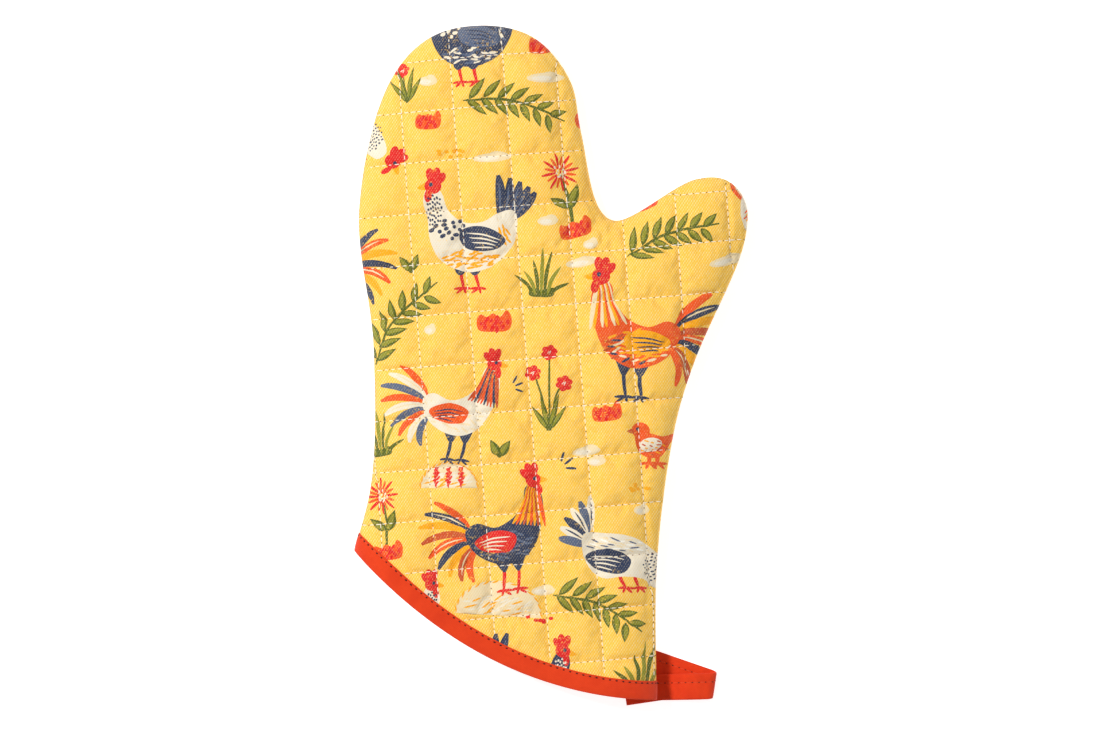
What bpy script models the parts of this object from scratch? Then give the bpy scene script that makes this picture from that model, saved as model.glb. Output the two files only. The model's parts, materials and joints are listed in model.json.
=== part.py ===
"""Quilted oven mitt with a bias-bound cuff and a folded tape hanging loop.

The mitt lies on its back on a table: +Z is its thickness, +Y points to the fingertips and +X to the
thumb side.  Units are metres.  Every wall is three layers (printed cotton, batting, lining) that
are offsets of one inflated surface, so they stay parallel and keep a small clearance.
"""
import math

import bpy
import bmesh
import numpy as np
from mathutils.geometry import delaunay_2d_cdt

MM = 0.001

# Outline of the sewn edge, left cuff corner to right cuff corner, in millimetres.
SEAM_POINTS_MM = [
    (-96.2, -91.0), (-88.0, -56.0), (-87.2, 10.0), (-94.2, 76.0), (-79.5, 138.0),
    (-60.0, 160.0), (-34.5, 166.3), (-9.0, 160.5), (9.0, 139.5), (14.3, 115.0),
    (23.5, 76.5), (31.5, 70.6), (71.0, 91.0), (86.0, 90.3), (95.2, 79.0),
    (94.2, 59.0), (70.0, 1.5), (60.6, -30.0), (51.8, -95.0), (51.2, -163.5),
]
# The cuff edge is one Bezier curve between the two cuff corners; these are its inner handles.
CUFF_HANDLES_MM = [(-50.0, -141.0), (-2.0, -161.5)]

# Inflated shape
SEAM_GAP = 0.30 * MM            # clearance between the front and back edges at the seam
BACK_CROWN = 11.0 * MM          # depth of the back below the seam
BACK_SHOULDER = 20.0 * MM       # distance from the seam where the back is flat
FRONT_CROWN = 16.5 * MM
FRONT_SHOULDER = 40.0 * MM
SEAM_HEIGHT = BACK_CROWN + SEAM_GAP / 2
CUFF_LIFT = 2.3 * MM            # the cuff stands on its binding
CUFF_LIFT_REACH = 45.0 * MM
CORNER_LIFT = 3.5 * MM          # the loop's tape lies under the thumb-side corner
CORNER_REACH = 55.0 * MM

# Wall layers, measured inward from the outer face
CLEARANCE = 0.30 * MM
OUTER_THICKNESS = 0.8 * MM
BATTING_THICKNESS = 2.6 * MM
LINING_THICKNESS = 0.5 * MM
BATTING_FACE = OUTER_THICKNESS + CLEARANCE
LINING_FACE = BATTING_FACE + BATTING_THICKNESS + CLEARANCE
WALL = LINING_FACE + LINING_THICKNESS

# Binding around the mouth
BINDING_WIDTH = 9.2 * MM
BINDING_THICKNESS = 1.0 * MM
PANEL_EDGE = BINDING_THICKNESS + 2 * CLEARANCE  # the panels end this far inside the binding
BINDING_ROW = BINDING_WIDTH + 1.5 * MM          # panel points just above the binding
INNER_CLEARANCE = 0.7 * MM      # the inner leg stands further off, because the wall turns in tightly
INNER_LEG = 0.8 * MM
THREAD_RADIUS = 0.25 * MM
TOPSTITCH_INSET = 1.2 * MM

# Seam thread inside the cavity
SEAM_THREAD_RADIUS = 0.40 * MM
SEAM_THREAD_INSET = WALL + 2.6 * MM
SEAM_THREAD_START = 13.0 * MM

# Hanging loop: two sewn tails and a free folded strand
TAPE_WIDTH = 12.8 * MM
TAPE_THICKNESS = 1.2 * MM
HINGE_X = 53.4 * MM
HINGE_GAP = 0.15 * MM
NEAR_TAIL_START = (36.0 * MM, -160.0 * MM)
NEAR_START_Y = -158.4 * MM
NEAR_FOLD = (76.6 * MM, -157.6 * MM)            # where the near strand's middle starts to fold
FAR_ANGLE = math.radians(17.0)                  # the far strand climbs back at this angle
FAR_TAIL_LENGTH = 15.0 * MM
FAR_MIDDLE = TAPE_THICKNESS / 2
NEAR_MIDDLE = FAR_MIDDLE + TAPE_THICKNESS + 0.4 * MM
FOLD_RADIUS = 3.1 * MM
LOOP_TOP = FAR_MIDDLE + 2 * FOLD_RADIUS
RAMP_END_X = 71.0 * MM
LOOP_STITCH_INSET = 4.3 * MM

# Mesh density
SEAM_STEP = 18.0 * MM
SEAM_TURN = math.radians(20)
MIN_STEP = 4.0 * MM
ROWS = (2.0 * MM, 7.0 * MM, 16.0 * MM)
GRID = 22.0 * MM
CORNER_STATIONS = (0.0, 3.0 * MM, 8.0 * MM, 15.0 * MM, 25.0 * MM)

PRINT_YELLOW = (0.97, 0.64, 0.13)
BATTING_WHITE = (0.86, 0.84, 0.80)
LINING_CREAM = (0.82, 0.76, 0.63)
BINDING_ORANGE = (0.77, 0.06, 0.015)
LOOP_ORANGE = (0.75, 0.05, 0.012)
THREAD_CREAM = (0.85, 0.78, 0.62)
THREAD_ORANGE = (0.72, 0.07, 0.02)


# ---------------------------------------------------------------- scene helpers

def clear_scene():
    for obj in list(bpy.data.objects):
        bpy.data.objects.remove(obj, do_unlink=True)


def make_material(name, colour, roughness):
    material = bpy.data.materials.new(name)
    material.use_nodes = True
    shader = material.node_tree.nodes["Principled BSDF"]
    shader.inputs["Base Color"].default_value = (*colour, 1.0)
    shader.inputs["Roughness"].default_value = roughness
    shader.inputs["Metallic"].default_value = 0.0
    return material


def add_mesh(name, points, faces, material, pivot=(0.0, 0.0, 0.0)):
    """One closed object from world points; its origin goes to the pivot."""
    mesh = bpy.data.meshes.new(name)
    local = np.asarray(points) - np.asarray(pivot)
    mesh.from_pydata(local.tolist(), [], faces)
    work = bmesh.new()
    work.from_mesh(mesh)
    bmesh.ops.recalc_face_normals(work, faces=work.faces)
    work.to_mesh(mesh)
    work.free()
    mesh.shade_smooth()
    mesh.set_sharp_from_angle(angle=math.radians(40))
    mesh.materials.append(material)
    obj = bpy.data.objects.new(name, mesh)
    obj.location = pivot
    bpy.context.scene.collection.objects.link(obj)
    return obj


# ---------------------------------------------------------------- flat curves

def smooth_curve(points, steps=12):
    """Centripetal Catmull-Rom curve through the points."""
    points = np.asarray(points, dtype=float)
    points = np.vstack([2 * points[0] - points[1], points, 2 * points[-1] - points[-2]])
    curve = []
    for p0, p1, p2, p3 in zip(points, points[1:], points[2:], points[3:]):
        t1 = math.sqrt(np.linalg.norm(p1 - p0))
        t2 = t1 + math.sqrt(np.linalg.norm(p2 - p1))
        t3 = t2 + math.sqrt(np.linalg.norm(p3 - p2))
        for t in np.linspace(t1, t2, steps, endpoint=False):
            a1 = (t1 - t) / t1 * p0 + t / t1 * p1
            a2 = (t2 - t) / (t2 - t1) * p1 + (t - t1) / (t2 - t1) * p2
            a3 = (t3 - t) / (t3 - t2) * p2 + (t - t2) / (t3 - t2) * p3
            b1 = (t2 - t) / t2 * a1 + t / t2 * a2
            b2 = (t3 - t) / (t3 - t1) * a2 + (t - t1) / (t3 - t1) * a3
            curve.append((t2 - t) / (t2 - t1) * b1 + (t - t1) / (t2 - t1) * b2)
    curve.append(points[-2])
    return np.array(curve)


def bezier(start, handle_a, handle_b, end, steps=80):
    t = np.linspace(0.0, 1.0, steps + 1)[:, None]
    u = 1.0 - t
    return u ** 3 * start + 3 * u * u * t * handle_a + 3 * u * t * t * handle_b + t ** 3 * end


def arc_lengths(curve):
    steps = np.linalg.norm(np.diff(curve, axis=0), axis=1)
    return np.concatenate([[0.0], np.cumsum(steps)])


def point_at(curve, distance):
    lengths = arc_lengths(curve)
    return np.array([np.interp(distance, lengths, curve[:, k]) for k in range(2)])


def unit(vector):
    return vector / np.linalg.norm(vector)


def distance_to(points, curve):
    """Shortest distance from each point to a polyline."""
    points = np.atleast_2d(points)
    start = curve[:-1]
    along = curve[1:] - start
    offset = points[:, None, :] - start[None, :, :]
    t = np.clip((offset * along).sum(2) / (along ** 2).sum(1), 0.0, 1.0)
    return np.linalg.norm(offset - t[:, :, None] * along, axis=2).min(axis=1)


def inside(points, polygon):
    """Even-odd test of points against a closed polygon."""
    x, y = np.atleast_2d(points).T
    result = np.zeros(len(x), dtype=bool)
    for (ax, ay), (bx, by) in zip(polygon, np.roll(polygon, -1, axis=0)):
        crosses = (ay > y) != (by > y)
        at_x = ax + (y - ay) * (bx - ax) / (by - ay if by != ay else 1.0)
        result ^= crosses & (x < at_x)
    return result


SEAM = smooth_curve(np.array(SEAM_POINTS_MM) * MM)
CUFF = bezier(SEAM[0], *(np.array(CUFF_HANDLES_MM) * MM), SEAM[-1])
CUFF_LENGTH = arc_lengths(CUFF)[-1]
LEFT_SIDE = unit(point_at(SEAM, 12 * MM) - SEAM[0])
RIGHT_SIDE = unit(SEAM[-13] - SEAM[-1])
EXTENSION = 80.0 * MM
SEAM_GUIDE = np.vstack([SEAM[0] - LEFT_SIDE * EXTENSION, SEAM, SEAM[-1] - RIGHT_SIDE * EXTENSION])


# ---------------------------------------------------------------- inflated surface

def seam_distance(points):
    """Smooth distance to the whole seam: an inverse-cube line integral, exact on each segment."""
    start = SEAM_GUIDE[:-1]
    along = np.diff(SEAM_GUIDE, axis=0)
    lengths = np.linalg.norm(along, axis=1)
    along = along / lengths[:, None]
    offset = np.atleast_2d(points)[:, None, :] - start
    s1 = -(offset * along).sum(2)
    s2 = s1 + lengths
    d2 = np.maximum((offset ** 2).sum(2) - s1 ** 2, 1e-12)
    pull = (s2 / np.sqrt(d2 + s2 ** 2) - s1 / np.sqrt(d2 + s1 ** 2)) / d2
    return np.sqrt(2.0 / pull.sum(axis=1))


def rise(points, side):
    """Height of the outer face above (front, +1) or below (back, -1) the seam."""
    crown, shoulder = (FRONT_CROWN, FRONT_SHOULDER) if side > 0 else (BACK_CROWN, BACK_SHOULDER)
    t = np.minimum(seam_distance(points) / shoulder, 1.0)
    return crown * np.sqrt(1.0 - (1.0 - t) ** 2)


def lift(points):
    """How far the cuff and its thumb-side corner stand off the table."""
    near_cuff = np.clip(1.0 - distance_to(points, CUFF) / CUFF_LIFT_REACH, 0.0, 1.0)
    outside = np.atleast_2d(points)[:, 1] < -60 * MM
    corner = np.linalg.norm(points - SEAM[-1], axis=1) / CORNER_REACH
    bump = np.clip(1.0 - corner ** 2, 0.0, 1.0) ** 2
    return CUFF_LIFT * near_cuff ** 2 * (3 - 2 * near_cuff) * outside + CORNER_LIFT * bump


def surface(points, side, offset, on_seam=None, seam_normals=None):
    """World points of the surface that lies offset outside (+) or inside (-) the outer face."""
    points = np.atleast_2d(points)
    delta = 0.02 * MM
    height = rise(points, side)
    slope_x = (rise(points + (delta, 0.0), side) - rise(points - (delta, 0.0), side)) / (2 * delta)
    slope_y = (rise(points + (0.0, delta), side) - rise(points - (0.0, delta), side)) / (2 * delta)
    normals = np.stack([-slope_x, -slope_y, np.full(len(points), float(side))], axis=1)
    if on_seam is not None:
        height[on_seam] = 0.0
        normals[on_seam] = np.c_[seam_normals, np.zeros(len(seam_normals))]
    normals /= np.linalg.norm(normals, axis=1)[:, None]
    world = np.c_[points, SEAM_HEIGHT + side * (height + SEAM_GAP / 2)] + normals * offset
    world[:, 2] += lift(world[:, :2])
    return world


# ---------------------------------------------------------------- flat layout shared by all layers

def cuff_stations():
    inner = np.linspace(CORNER_STATIONS[-1], CUFF_LENGTH - CORNER_STATIONS[-1], 9)[1:-1]
    corners = np.array(CORNER_STATIONS)
    return np.concatenate([corners, inner, CUFF_LENGTH - corners[::-1]])


def cuff_direction(distance):
    """Direction that leads from the cuff edge into the mitt; along the seam at both corners."""
    step = 0.5 * MM
    a = point_at(CUFF, max(distance - step, 0.0))
    b = point_at(CUFF, min(distance + step, CUFF_LENGTH))
    along = unit(b - a)
    normal = np.array([-along[1], along[0]])
    reach = CORNER_STATIONS[-1]
    left = np.clip(1.0 - distance / reach, 0.0, 1.0)
    right = np.clip(1.0 - (CUFF_LENGTH - distance) / reach, 0.0, 1.0)
    return unit(normal * (1.0 - left - right) + LEFT_SIDE * left + RIGHT_SIDE * right)


def cuff_point(distance, inward):
    return point_at(CUFF, distance) + cuff_direction(distance) * inward


def seam_samples():
    """Seam points from just inside the left binding edge to the right one, denser on the bends."""
    lengths = arc_lengths(SEAM)
    total = lengths[-1]
    chosen = [BINDING_ROW]
    last_direction = None
    step = 1.0 * MM
    for distance in np.arange(BINDING_ROW, total - BINDING_ROW, step):
        direction = unit(point_at(SEAM, distance + step) - point_at(SEAM, distance))
        if last_direction is None:
            last_direction = direction
        run = distance - chosen[-1]
        turn = math.acos(min(1.0, float(direction @ last_direction)))
        if run >= SEAM_STEP or (turn >= SEAM_TURN and run >= MIN_STEP):
            chosen.append(distance)
            last_direction = direction
    if total - BINDING_ROW - chosen[-1] < MIN_STEP:
        chosen.pop()
    middle = [point_at(SEAM, d) for d in chosen[1:]]
    left = [cuff_point(0.0, PANEL_EDGE), cuff_point(0.0, BINDING_ROW)]
    right = [cuff_point(CUFF_LENGTH, BINDING_ROW), cuff_point(CUFF_LENGTH, PANEL_EDGE)]
    return np.array(left + middle + right)


def outward_normals(samples):
    """Flat normals that point out of the mitt along an open run of seam samples."""
    tangents = np.gradient(samples, axis=0)
    tangents[0] = LEFT_SIDE
    tangents[-1] = -RIGHT_SIDE
    normals = np.c_[-tangents[:, 1], tangents[:, 0]]
    return normals / np.linalg.norm(normals, axis=1)[:, None]


def inner_points(seam, normals, outline):
    """Rows beside the seam, a row above the binding, and a staggered grid in the middle."""
    kept = [cuff_point(d, BINDING_ROW) for d in cuff_stations()[1:-1]]
    edge = np.vstack([outline, outline[:1]])
    binding_line = np.array([cuff_point(d, BINDING_ROW) for d in cuff_stations()])

    def keep(candidates, least, spacing):
        for point in candidates:
            clear = distance_to(point, edge)[0] >= least * 0.93
            clear = clear and inside(point, outline)[0]
            clear = clear and distance_to(point, binding_line)[0] >= spacing
            if clear and np.linalg.norm(np.array(kept) - point, axis=1).min() >= spacing:
                kept.append(point)

    for row in ROWS:
        keep(seam[2:-2] - normals[2:-2] * row, row, min(row, 6.0 * MM) * 0.8)
    low = outline.min(axis=0)
    high = outline.max(axis=0)
    for line, y in enumerate(np.arange(low[1], high[1], GRID * 0.87)):
        shift = GRID / 2 if line % 2 else 0.0
        grid_row = [np.array([x + shift, y]) for x in np.arange(low[0], high[0], GRID)]
        keep(grid_row, ROWS[-1] + 4 * MM, 9.0 * MM)
    return kept


def flat_layout():
    """One triangulation of the mitt's plan; returns points, triangles, seam indices and normals."""
    seam = seam_samples()
    normals = outward_normals(seam)
    cuff = [cuff_point(d, PANEL_EDGE) for d in cuff_stations()[1:-1]][::-1]
    outline = np.vstack([seam, cuff])[::-1]
    points = [tuple(p) for p in outline] + [tuple(p) for p in inner_points(seam, normals, outline)]
    count = len(outline)
    result = delaunay_2d_cdt(points, [], [list(range(count))], 1, 1e-7)
    flat = np.array([tuple(v) for v in result[0]])
    origin = np.array([ids[0] for ids in result[3]])
    triangles = [tuple(face) for face in result[2]]
    seam_first = len(cuff)
    on_seam = np.flatnonzero((origin >= seam_first) & (origin < count))
    seam_normals = normals[count - 1 - origin[on_seam]]
    return flat, triangles, on_seam, seam_normals


def boundary_edges(triangles):
    directed = {(t[k], t[(k + 1) % 3]) for t in triangles for k in range(3)}
    return [edge for edge in directed if (edge[1], edge[0]) not in directed]


# ---------------------------------------------------------------- panels

def add_layer(name, layout, side, face, thickness, material):
    """A closed sheet between two offsets of the same inflated surface."""
    flat, triangles, on_seam, seam_normals = layout
    outer = surface(flat, side, -face, on_seam, seam_normals)
    inner = surface(flat, side, -face - thickness, on_seam, seam_normals)
    count = len(flat)
    faces = [list(t) for t in triangles]
    faces += [[i + count for i in reversed(t)] for t in triangles]
    faces += [[a, a + count, b + count, b] for a, b in boundary_edges(triangles)]
    return add_mesh(name, np.vstack([outer, inner]), faces, material)


def add_panels(layout, materials):
    printed, batting, lining = materials
    for name, side in (("front", 1), ("back", -1)):
        add_layer(f"{name}_outer_panel", layout, side, 0.0, OUTER_THICKNESS, printed)
        add_layer(f"{name}_batting", layout, side, BATTING_FACE, BATTING_THICKNESS, batting)
        add_layer(f"{name}_lining", layout, side, LINING_FACE, LINING_THICKNESS, lining)


# ---------------------------------------------------------------- binding and threads

def ring_point(distance, side, inward, offset):
    point = cuff_point(distance, inward)
    if distance in (0.0, CUFF_LENGTH):
        direction = LEFT_SIDE if distance == 0.0 else -RIGHT_SIDE
        normal = np.array([[-direction[1], direction[0]]])
        world = surface(point, 0, offset, np.array([0]), normal)
    else:
        world = surface(point, side, offset)
    return world[0]


def ring_stations():
    """Front stations from left to right, then back stations from right to left."""
    stations = cuff_stations()
    return [(d, 1) for d in stations] + [(d, -1) for d in stations[-2:0:-1]]


def add_binding(material):
    outer = CLEARANCE + BINDING_THICKNESS
    inner = -WALL - INNER_CLEARANCE - INNER_LEG
    bevel = 0.5 * MM
    profile = [
        (0.0, outer - bevel), (bevel, outer), (BINDING_WIDTH, outer), (BINDING_WIDTH, CLEARANCE),
        (BINDING_THICKNESS, CLEARANCE), (BINDING_THICKNESS, inner + INNER_LEG),
        (BINDING_WIDTH, inner + INNER_LEG), (BINDING_WIDTH, inner),
        (bevel, inner), (0.0, inner + bevel),
    ]
    stations = ring_stations()
    points = [ring_point(d, side, v, offset) for d, side in stations for v, offset in profile]
    size = len(profile)
    faces = []
    for i in range(len(stations)):
        j = (i + 1) % len(stations)
        for k in range(size):
            m = (k + 1) % size
            faces.append([i * size + k, i * size + m, j * size + m, j * size + k])
    return add_mesh("cuff_binding", points, faces, material)


def tube(name, path, radius, material, closed=False, reference=(0.0, 0.0, 1.0), pivot=(0.0, 0.0, 0.0)):
    """A thread that follows a path of world points; no stretch of it runs along the reference."""
    sides = 6
    path = np.asarray(path)
    if closed:
        tangents = np.roll(path, -1, axis=0) - np.roll(path, 1, axis=0)
    else:
        tangents = np.gradient(path, axis=0)
    points = []
    for centre, tangent in zip(path, tangents):
        tangent = unit(tangent)
        across = unit(np.cross(tangent, reference))
        up = np.cross(across, tangent)
        for k in range(sides):
            angle = 2 * math.pi * k / sides
            points.append(centre + radius * (math.cos(angle) * across + math.sin(angle) * up))
    faces = []
    for i in range(len(path) if closed else len(path) - 1):
        j = (i + 1) % len(path)
        for k in range(sides):
            m = (k + 1) % sides
            faces.append([i * sides + k, i * sides + m, j * sides + m, j * sides + k])
    if not closed:
        last = (len(path) - 1) * sides
        faces.append(list(range(sides)))
        faces.append([last + k for k in range(sides)])
    return add_mesh(name, points, faces, material, pivot)


def add_topstitch(material):
    offset = CLEARANCE + BINDING_THICKNESS + CLEARANCE + THREAD_RADIUS
    inward = BINDING_WIDTH - TOPSTITCH_INSET
    path = [ring_point(d, side, inward, offset) for d, side in ring_stations()]
    return tube("binding_topstitch", path, THREAD_RADIUS, material, True, reference=(0.0, 1.0, 0.0))


def add_seam_thread(material):
    seam = smooth_seam_run()
    normals = outward_normals(seam)
    path = seam - normals * SEAM_THREAD_INSET
    heights = SEAM_HEIGHT + lift(path)
    return tube("side_seam_thread", np.c_[path, heights], SEAM_THREAD_RADIUS, material)


def smooth_seam_run():
    total = arc_lengths(SEAM)[-1]
    count = 72
    distances = np.linspace(SEAM_THREAD_START, total - SEAM_THREAD_START, count)
    return np.array([point_at(SEAM, d) for d in distances])


# ---------------------------------------------------------------- hanging loop

FOLD_NORMAL = unit(np.array([1.0 + math.cos(FAR_ANGLE), -math.sin(FAR_ANGLE)]))
NEAR_LINE = unit(np.array(NEAR_FOLD) - (HINGE_X, NEAR_START_Y))
STRAND_START = np.array([HINGE_X + HINGE_GAP, NEAR_START_Y])


def near_height(x):
    """Middle height of the near strand: it climbs from its tail to the top of the fold."""
    t = min(max((x - HINGE_X - HINGE_GAP) / (RAMP_END_X - HINGE_X), 0.0), 1.0)
    return NEAR_MIDDLE + (LOOP_TOP - NEAR_MIDDLE) * t * t * (3 - 2 * t)


def rolled(along, across, offset):
    """A point of the unfolded tape, carried over the diagonal fold."""
    side = np.array([-NEAR_LINE[1], NEAR_LINE[0]])
    flat = STRAND_START + NEAR_LINE * along + side * across
    q = float((flat - NEAR_FOLD) @ FOLD_NORMAL)
    height = near_height(flat[0])
    if q <= 0.0:
        return np.array([flat[0], flat[1], height + offset])
    base = flat - FOLD_NORMAL * q
    turn = min(q / FOLD_RADIUS, math.pi)
    beyond = max(q - math.pi * FOLD_RADIUS, 0.0)
    reach = (FOLD_RADIUS + offset) * math.sin(turn) - beyond
    drop = FOLD_RADIUS - (FOLD_RADIUS + offset) * math.cos(turn)
    xy = base + FOLD_NORMAL * reach
    return np.array([xy[0], xy[1], LOOP_TOP - drop])


def end_of_strand(across):
    """Length along the unfolded tape where the far strand comes back to the hinge line."""
    stop = HINGE_X + HINGE_GAP
    low, high = 40.0 * MM, 90.0 * MM
    for _ in range(40):
        middle = (low + high) / 2
        if rolled(middle, across, 0.0)[0] > stop:
            low = middle
        else:
            high = middle
    return high


def start_of_strand(across):
    return across * NEAR_LINE[1] / NEAR_LINE[0]


def add_hanging_loop(material, pivot):
    columns = np.linspace(-TAPE_WIDTH / 2, TAPE_WIDTH / 2, 5)
    rows = 29
    points = []
    for offset in (TAPE_THICKNESS / 2, -TAPE_THICKNESS / 2):
        for k in range(rows):
            for across in columns:
                first = start_of_strand(across)
                along = first + (end_of_strand(across) - first) * k / (rows - 1)
                points.append(rolled(along, across, offset))
    width = len(columns)
    half = rows * width
    faces = []
    for k in range(rows - 1):
        for c in range(width - 1):
            a = k * width + c
            faces.append([a, a + 1, a + 1 + width, a + width])
            faces.append([half + i for i in (a, a + width, a + 1 + width, a + 1)])
        for a in (k * width, k * width + width - 1):
            faces.append([a, a + width, half + a + width, half + a])
    for start in (0, (rows - 1) * width):
        faces += [[a, a + 1, half + a + 1, half + a] for a in range(start, start + width - 1)]
    return add_mesh("hanging_loop", points, faces, material, pivot)


def add_tail(name, start, end, bottom, material):
    """A short sewn length of tape that ends square to the hinge line at its outer end."""
    along = unit(np.array(end) - start)
    side = np.array([-along[1], along[0]]) * TAPE_WIDTH / 2
    skew = along * side[0] / along[0]
    corners = [start - side, end - side + skew, end + side - skew, np.array(start) + side]
    points = [(*c, z) for z in (bottom, bottom + TAPE_THICKNESS) for c in corners]
    faces = [[0, 1, 2, 3], [4, 5, 6, 7]] + [[k, (k + 1) % 4, (k + 1) % 4 + 4, k + 4] for k in range(4)]
    return add_mesh(name, points, faces, material)


def add_loop_stitch(material, pivot):
    across = TAPE_WIDTH / 2 - LOOP_STITCH_INSET
    first = start_of_strand(across) + 1.0 * MM
    height = TAPE_THICKNESS / 2 + CLEARANCE + THREAD_RADIUS
    path = [rolled(along, across, height) for along in np.linspace(first, 21.0 * MM, 12)]
    return tube("loop_edge_stitch", path, THREAD_RADIUS, material, pivot=pivot)


def add_loop(tape, thread):
    pivot = (HINGE_X, NEAR_START_Y, NEAR_MIDDLE + TAPE_THICKNESS / 2)
    hinge = bpy.data.objects.new("loop_hinge", None)
    bpy.context.scene.collection.objects.link(hinge)
    hinge.location = pivot
    for obj in (add_hanging_loop(tape, pivot), add_loop_stitch(thread, pivot)):
        obj.parent = hinge
        obj.location = (0.0, 0.0, 0.0)
    tail_end = HINGE_X - HINGE_GAP
    near_bottom = NEAR_MIDDLE - TAPE_THICKNESS / 2
    add_tail("loop_tail_near", np.array(NEAR_TAIL_START), (tail_end, NEAR_START_Y), near_bottom, tape)
    far_line = np.array([-math.cos(FAR_ANGLE), math.sin(FAR_ANGLE)])
    far_end = rolled(end_of_strand(0.0), 0.0, 0.0)[:2] + far_line * 2 * HINGE_GAP / math.cos(FAR_ANGLE)
    far_start = far_end + far_line * FAR_TAIL_LENGTH
    add_tail("loop_tail_far", far_start, far_end, 0.0, tape)


def build():
    clear_scene()
    printed = make_material("printed_cotton", PRINT_YELLOW, 0.85)
    batting = make_material("batting", BATTING_WHITE, 0.95)
    lining = make_material("lining_cotton", LINING_CREAM, 0.9)
    binding = make_material("binding_cotton", BINDING_ORANGE, 0.8)
    tape = make_material("loop_cotton", LOOP_ORANGE, 0.8)
    thread = make_material("thread", THREAD_CREAM, 0.7)
    topstitch_thread = make_material("topstitch_thread", THREAD_ORANGE, 0.7)
    add_panels(flat_layout(), (printed, batting, lining))
    add_seam_thread(thread)
    add_binding(binding)
    add_topstitch(topstitch_thread)
    add_loop(tape, topstitch_thread)


build()
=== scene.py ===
"""Quilted oven mitt: printed twill panels, quilting, bound cuff and tape loop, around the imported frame."""
import json
import math

import bpy
import numpy as np
from mathutils.geometry import delaunay_2d_cdt
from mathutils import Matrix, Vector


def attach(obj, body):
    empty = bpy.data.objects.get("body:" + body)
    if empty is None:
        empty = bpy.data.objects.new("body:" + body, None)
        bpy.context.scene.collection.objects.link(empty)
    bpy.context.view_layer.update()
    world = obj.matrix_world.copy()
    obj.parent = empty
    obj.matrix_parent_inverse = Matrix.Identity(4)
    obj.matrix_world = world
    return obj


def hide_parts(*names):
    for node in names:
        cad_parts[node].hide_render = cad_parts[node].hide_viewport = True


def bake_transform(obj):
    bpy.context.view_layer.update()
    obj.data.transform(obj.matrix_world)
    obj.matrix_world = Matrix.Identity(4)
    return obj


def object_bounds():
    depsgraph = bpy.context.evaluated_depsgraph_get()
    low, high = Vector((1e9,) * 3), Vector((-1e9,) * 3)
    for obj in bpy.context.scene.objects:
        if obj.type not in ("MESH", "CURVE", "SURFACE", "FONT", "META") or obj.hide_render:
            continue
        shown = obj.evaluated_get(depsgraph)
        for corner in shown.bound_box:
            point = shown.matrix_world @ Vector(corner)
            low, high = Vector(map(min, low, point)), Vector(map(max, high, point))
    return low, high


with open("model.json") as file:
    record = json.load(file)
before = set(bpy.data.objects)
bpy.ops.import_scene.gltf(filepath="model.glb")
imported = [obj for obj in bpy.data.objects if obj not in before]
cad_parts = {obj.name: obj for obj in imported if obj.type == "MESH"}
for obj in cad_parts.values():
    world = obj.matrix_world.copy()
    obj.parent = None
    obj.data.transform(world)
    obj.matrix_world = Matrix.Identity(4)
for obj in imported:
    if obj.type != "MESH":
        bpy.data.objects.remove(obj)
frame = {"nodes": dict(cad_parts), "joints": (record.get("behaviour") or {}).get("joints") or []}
CAD_BOX = [list(corner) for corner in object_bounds()]
MM = 0.001

# Outline of the sewn edge, left cuff corner to right cuff corner, in millimetres (as in the frame).
SEAM_POINTS_MM = [
    (-96.2, -91.0), (-88.0, -56.0), (-87.2, 10.0), (-94.2, 76.0), (-79.5, 138.0),
    (-60.0, 160.0), (-34.5, 166.3), (-9.0, 160.5), (9.0, 139.5), (14.3, 115.0),
    (23.5, 76.5), (31.5, 70.6), (71.0, 91.0), (86.0, 90.3), (95.2, 79.0),
    (94.2, 59.0), (70.0, 1.5), (60.6, -30.0), (51.8, -95.0), (51.2, -163.5),
]
CUFF_HANDLES_MM = [(-50.0, -141.0), (-2.0, -161.5)]

# Inflated shape
BACK_CROWN = 11.0 * MM
BACK_SHOULDER = 20.0 * MM
FRONT_CROWN = 16.5 * MM
FRONT_SHOULDER = 40.0 * MM
SEAM_GAP = 0.30 * MM
SEAM_HEIGHT = BACK_CROWN + SEAM_GAP / 2
CUFF_LIFT = 2.3 * MM
CUFF_LIFT_REACH = 45.0 * MM
CORNER_LIFT = 3.5 * MM
CORNER_REACH = 55.0 * MM

# Wall
WALL = 4.8 * MM
CLOTH_STEP = 1.15 * MM
COARSE_STEP = 2.6 * MM
SEAM_TURN_IN = 3.0 * MM
QUILTING_TAKE_UP = 0.035        # each panel is cut this much longer and wider than its smooth shape

# Quilting: a one-inch grid turned a few degrees
QUILT_ANGLE = math.radians(4.5)
QUILT_PITCH = (26.0 * MM, 24.9 * MM)
QUILT_ORIGIN = (-11.8 * MM, 3.9 * MM)
QUILT_CELLS = 12
QUILT_DEPTH = 1.3 * MM
PUFF_LIMIT = 2.2 * MM
STITCH_PITCH = 3.3 * MM
STITCH_LENGTH = 3.0 * MM
STITCH_RADIUS = 0.25 * MM
NEEDLE_HOLE = 0.36 * MM

EDGE_LINE_POINTS = 24           # seam points on the nearly straight side below the thumb
EDGE_LINE_INSET = 1.1 * MM
EDGE_LINE_REACH = 3.2 * MM

# A pull line runs from the thumb crotch into the palm side
THUMB_CREASE = np.array([[22.0, 70.0], [16.0, 60.0], [5.0, 49.0]]) * MM
CREASE_LENGTH = 30.0 * MM
CREASE_WIDTH = 2.4 * MM
CREASE_DEPTH = 1.7 * MM

# Binding
BINDING_WIDTH = 9.2 * MM
BINDING_THICKNESS = 1.0 * MM
BINDING_CLEARANCE = 0.3 * MM
BINDING_INNER = 1.5 * MM
TOPSTITCH_LINE = 8.1 * MM
PANEL_EDGE = 1.6 * MM
CORNER_FLATTENED = 9.0 * MM      # the tape is pulled thin over the two seam ends

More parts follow.
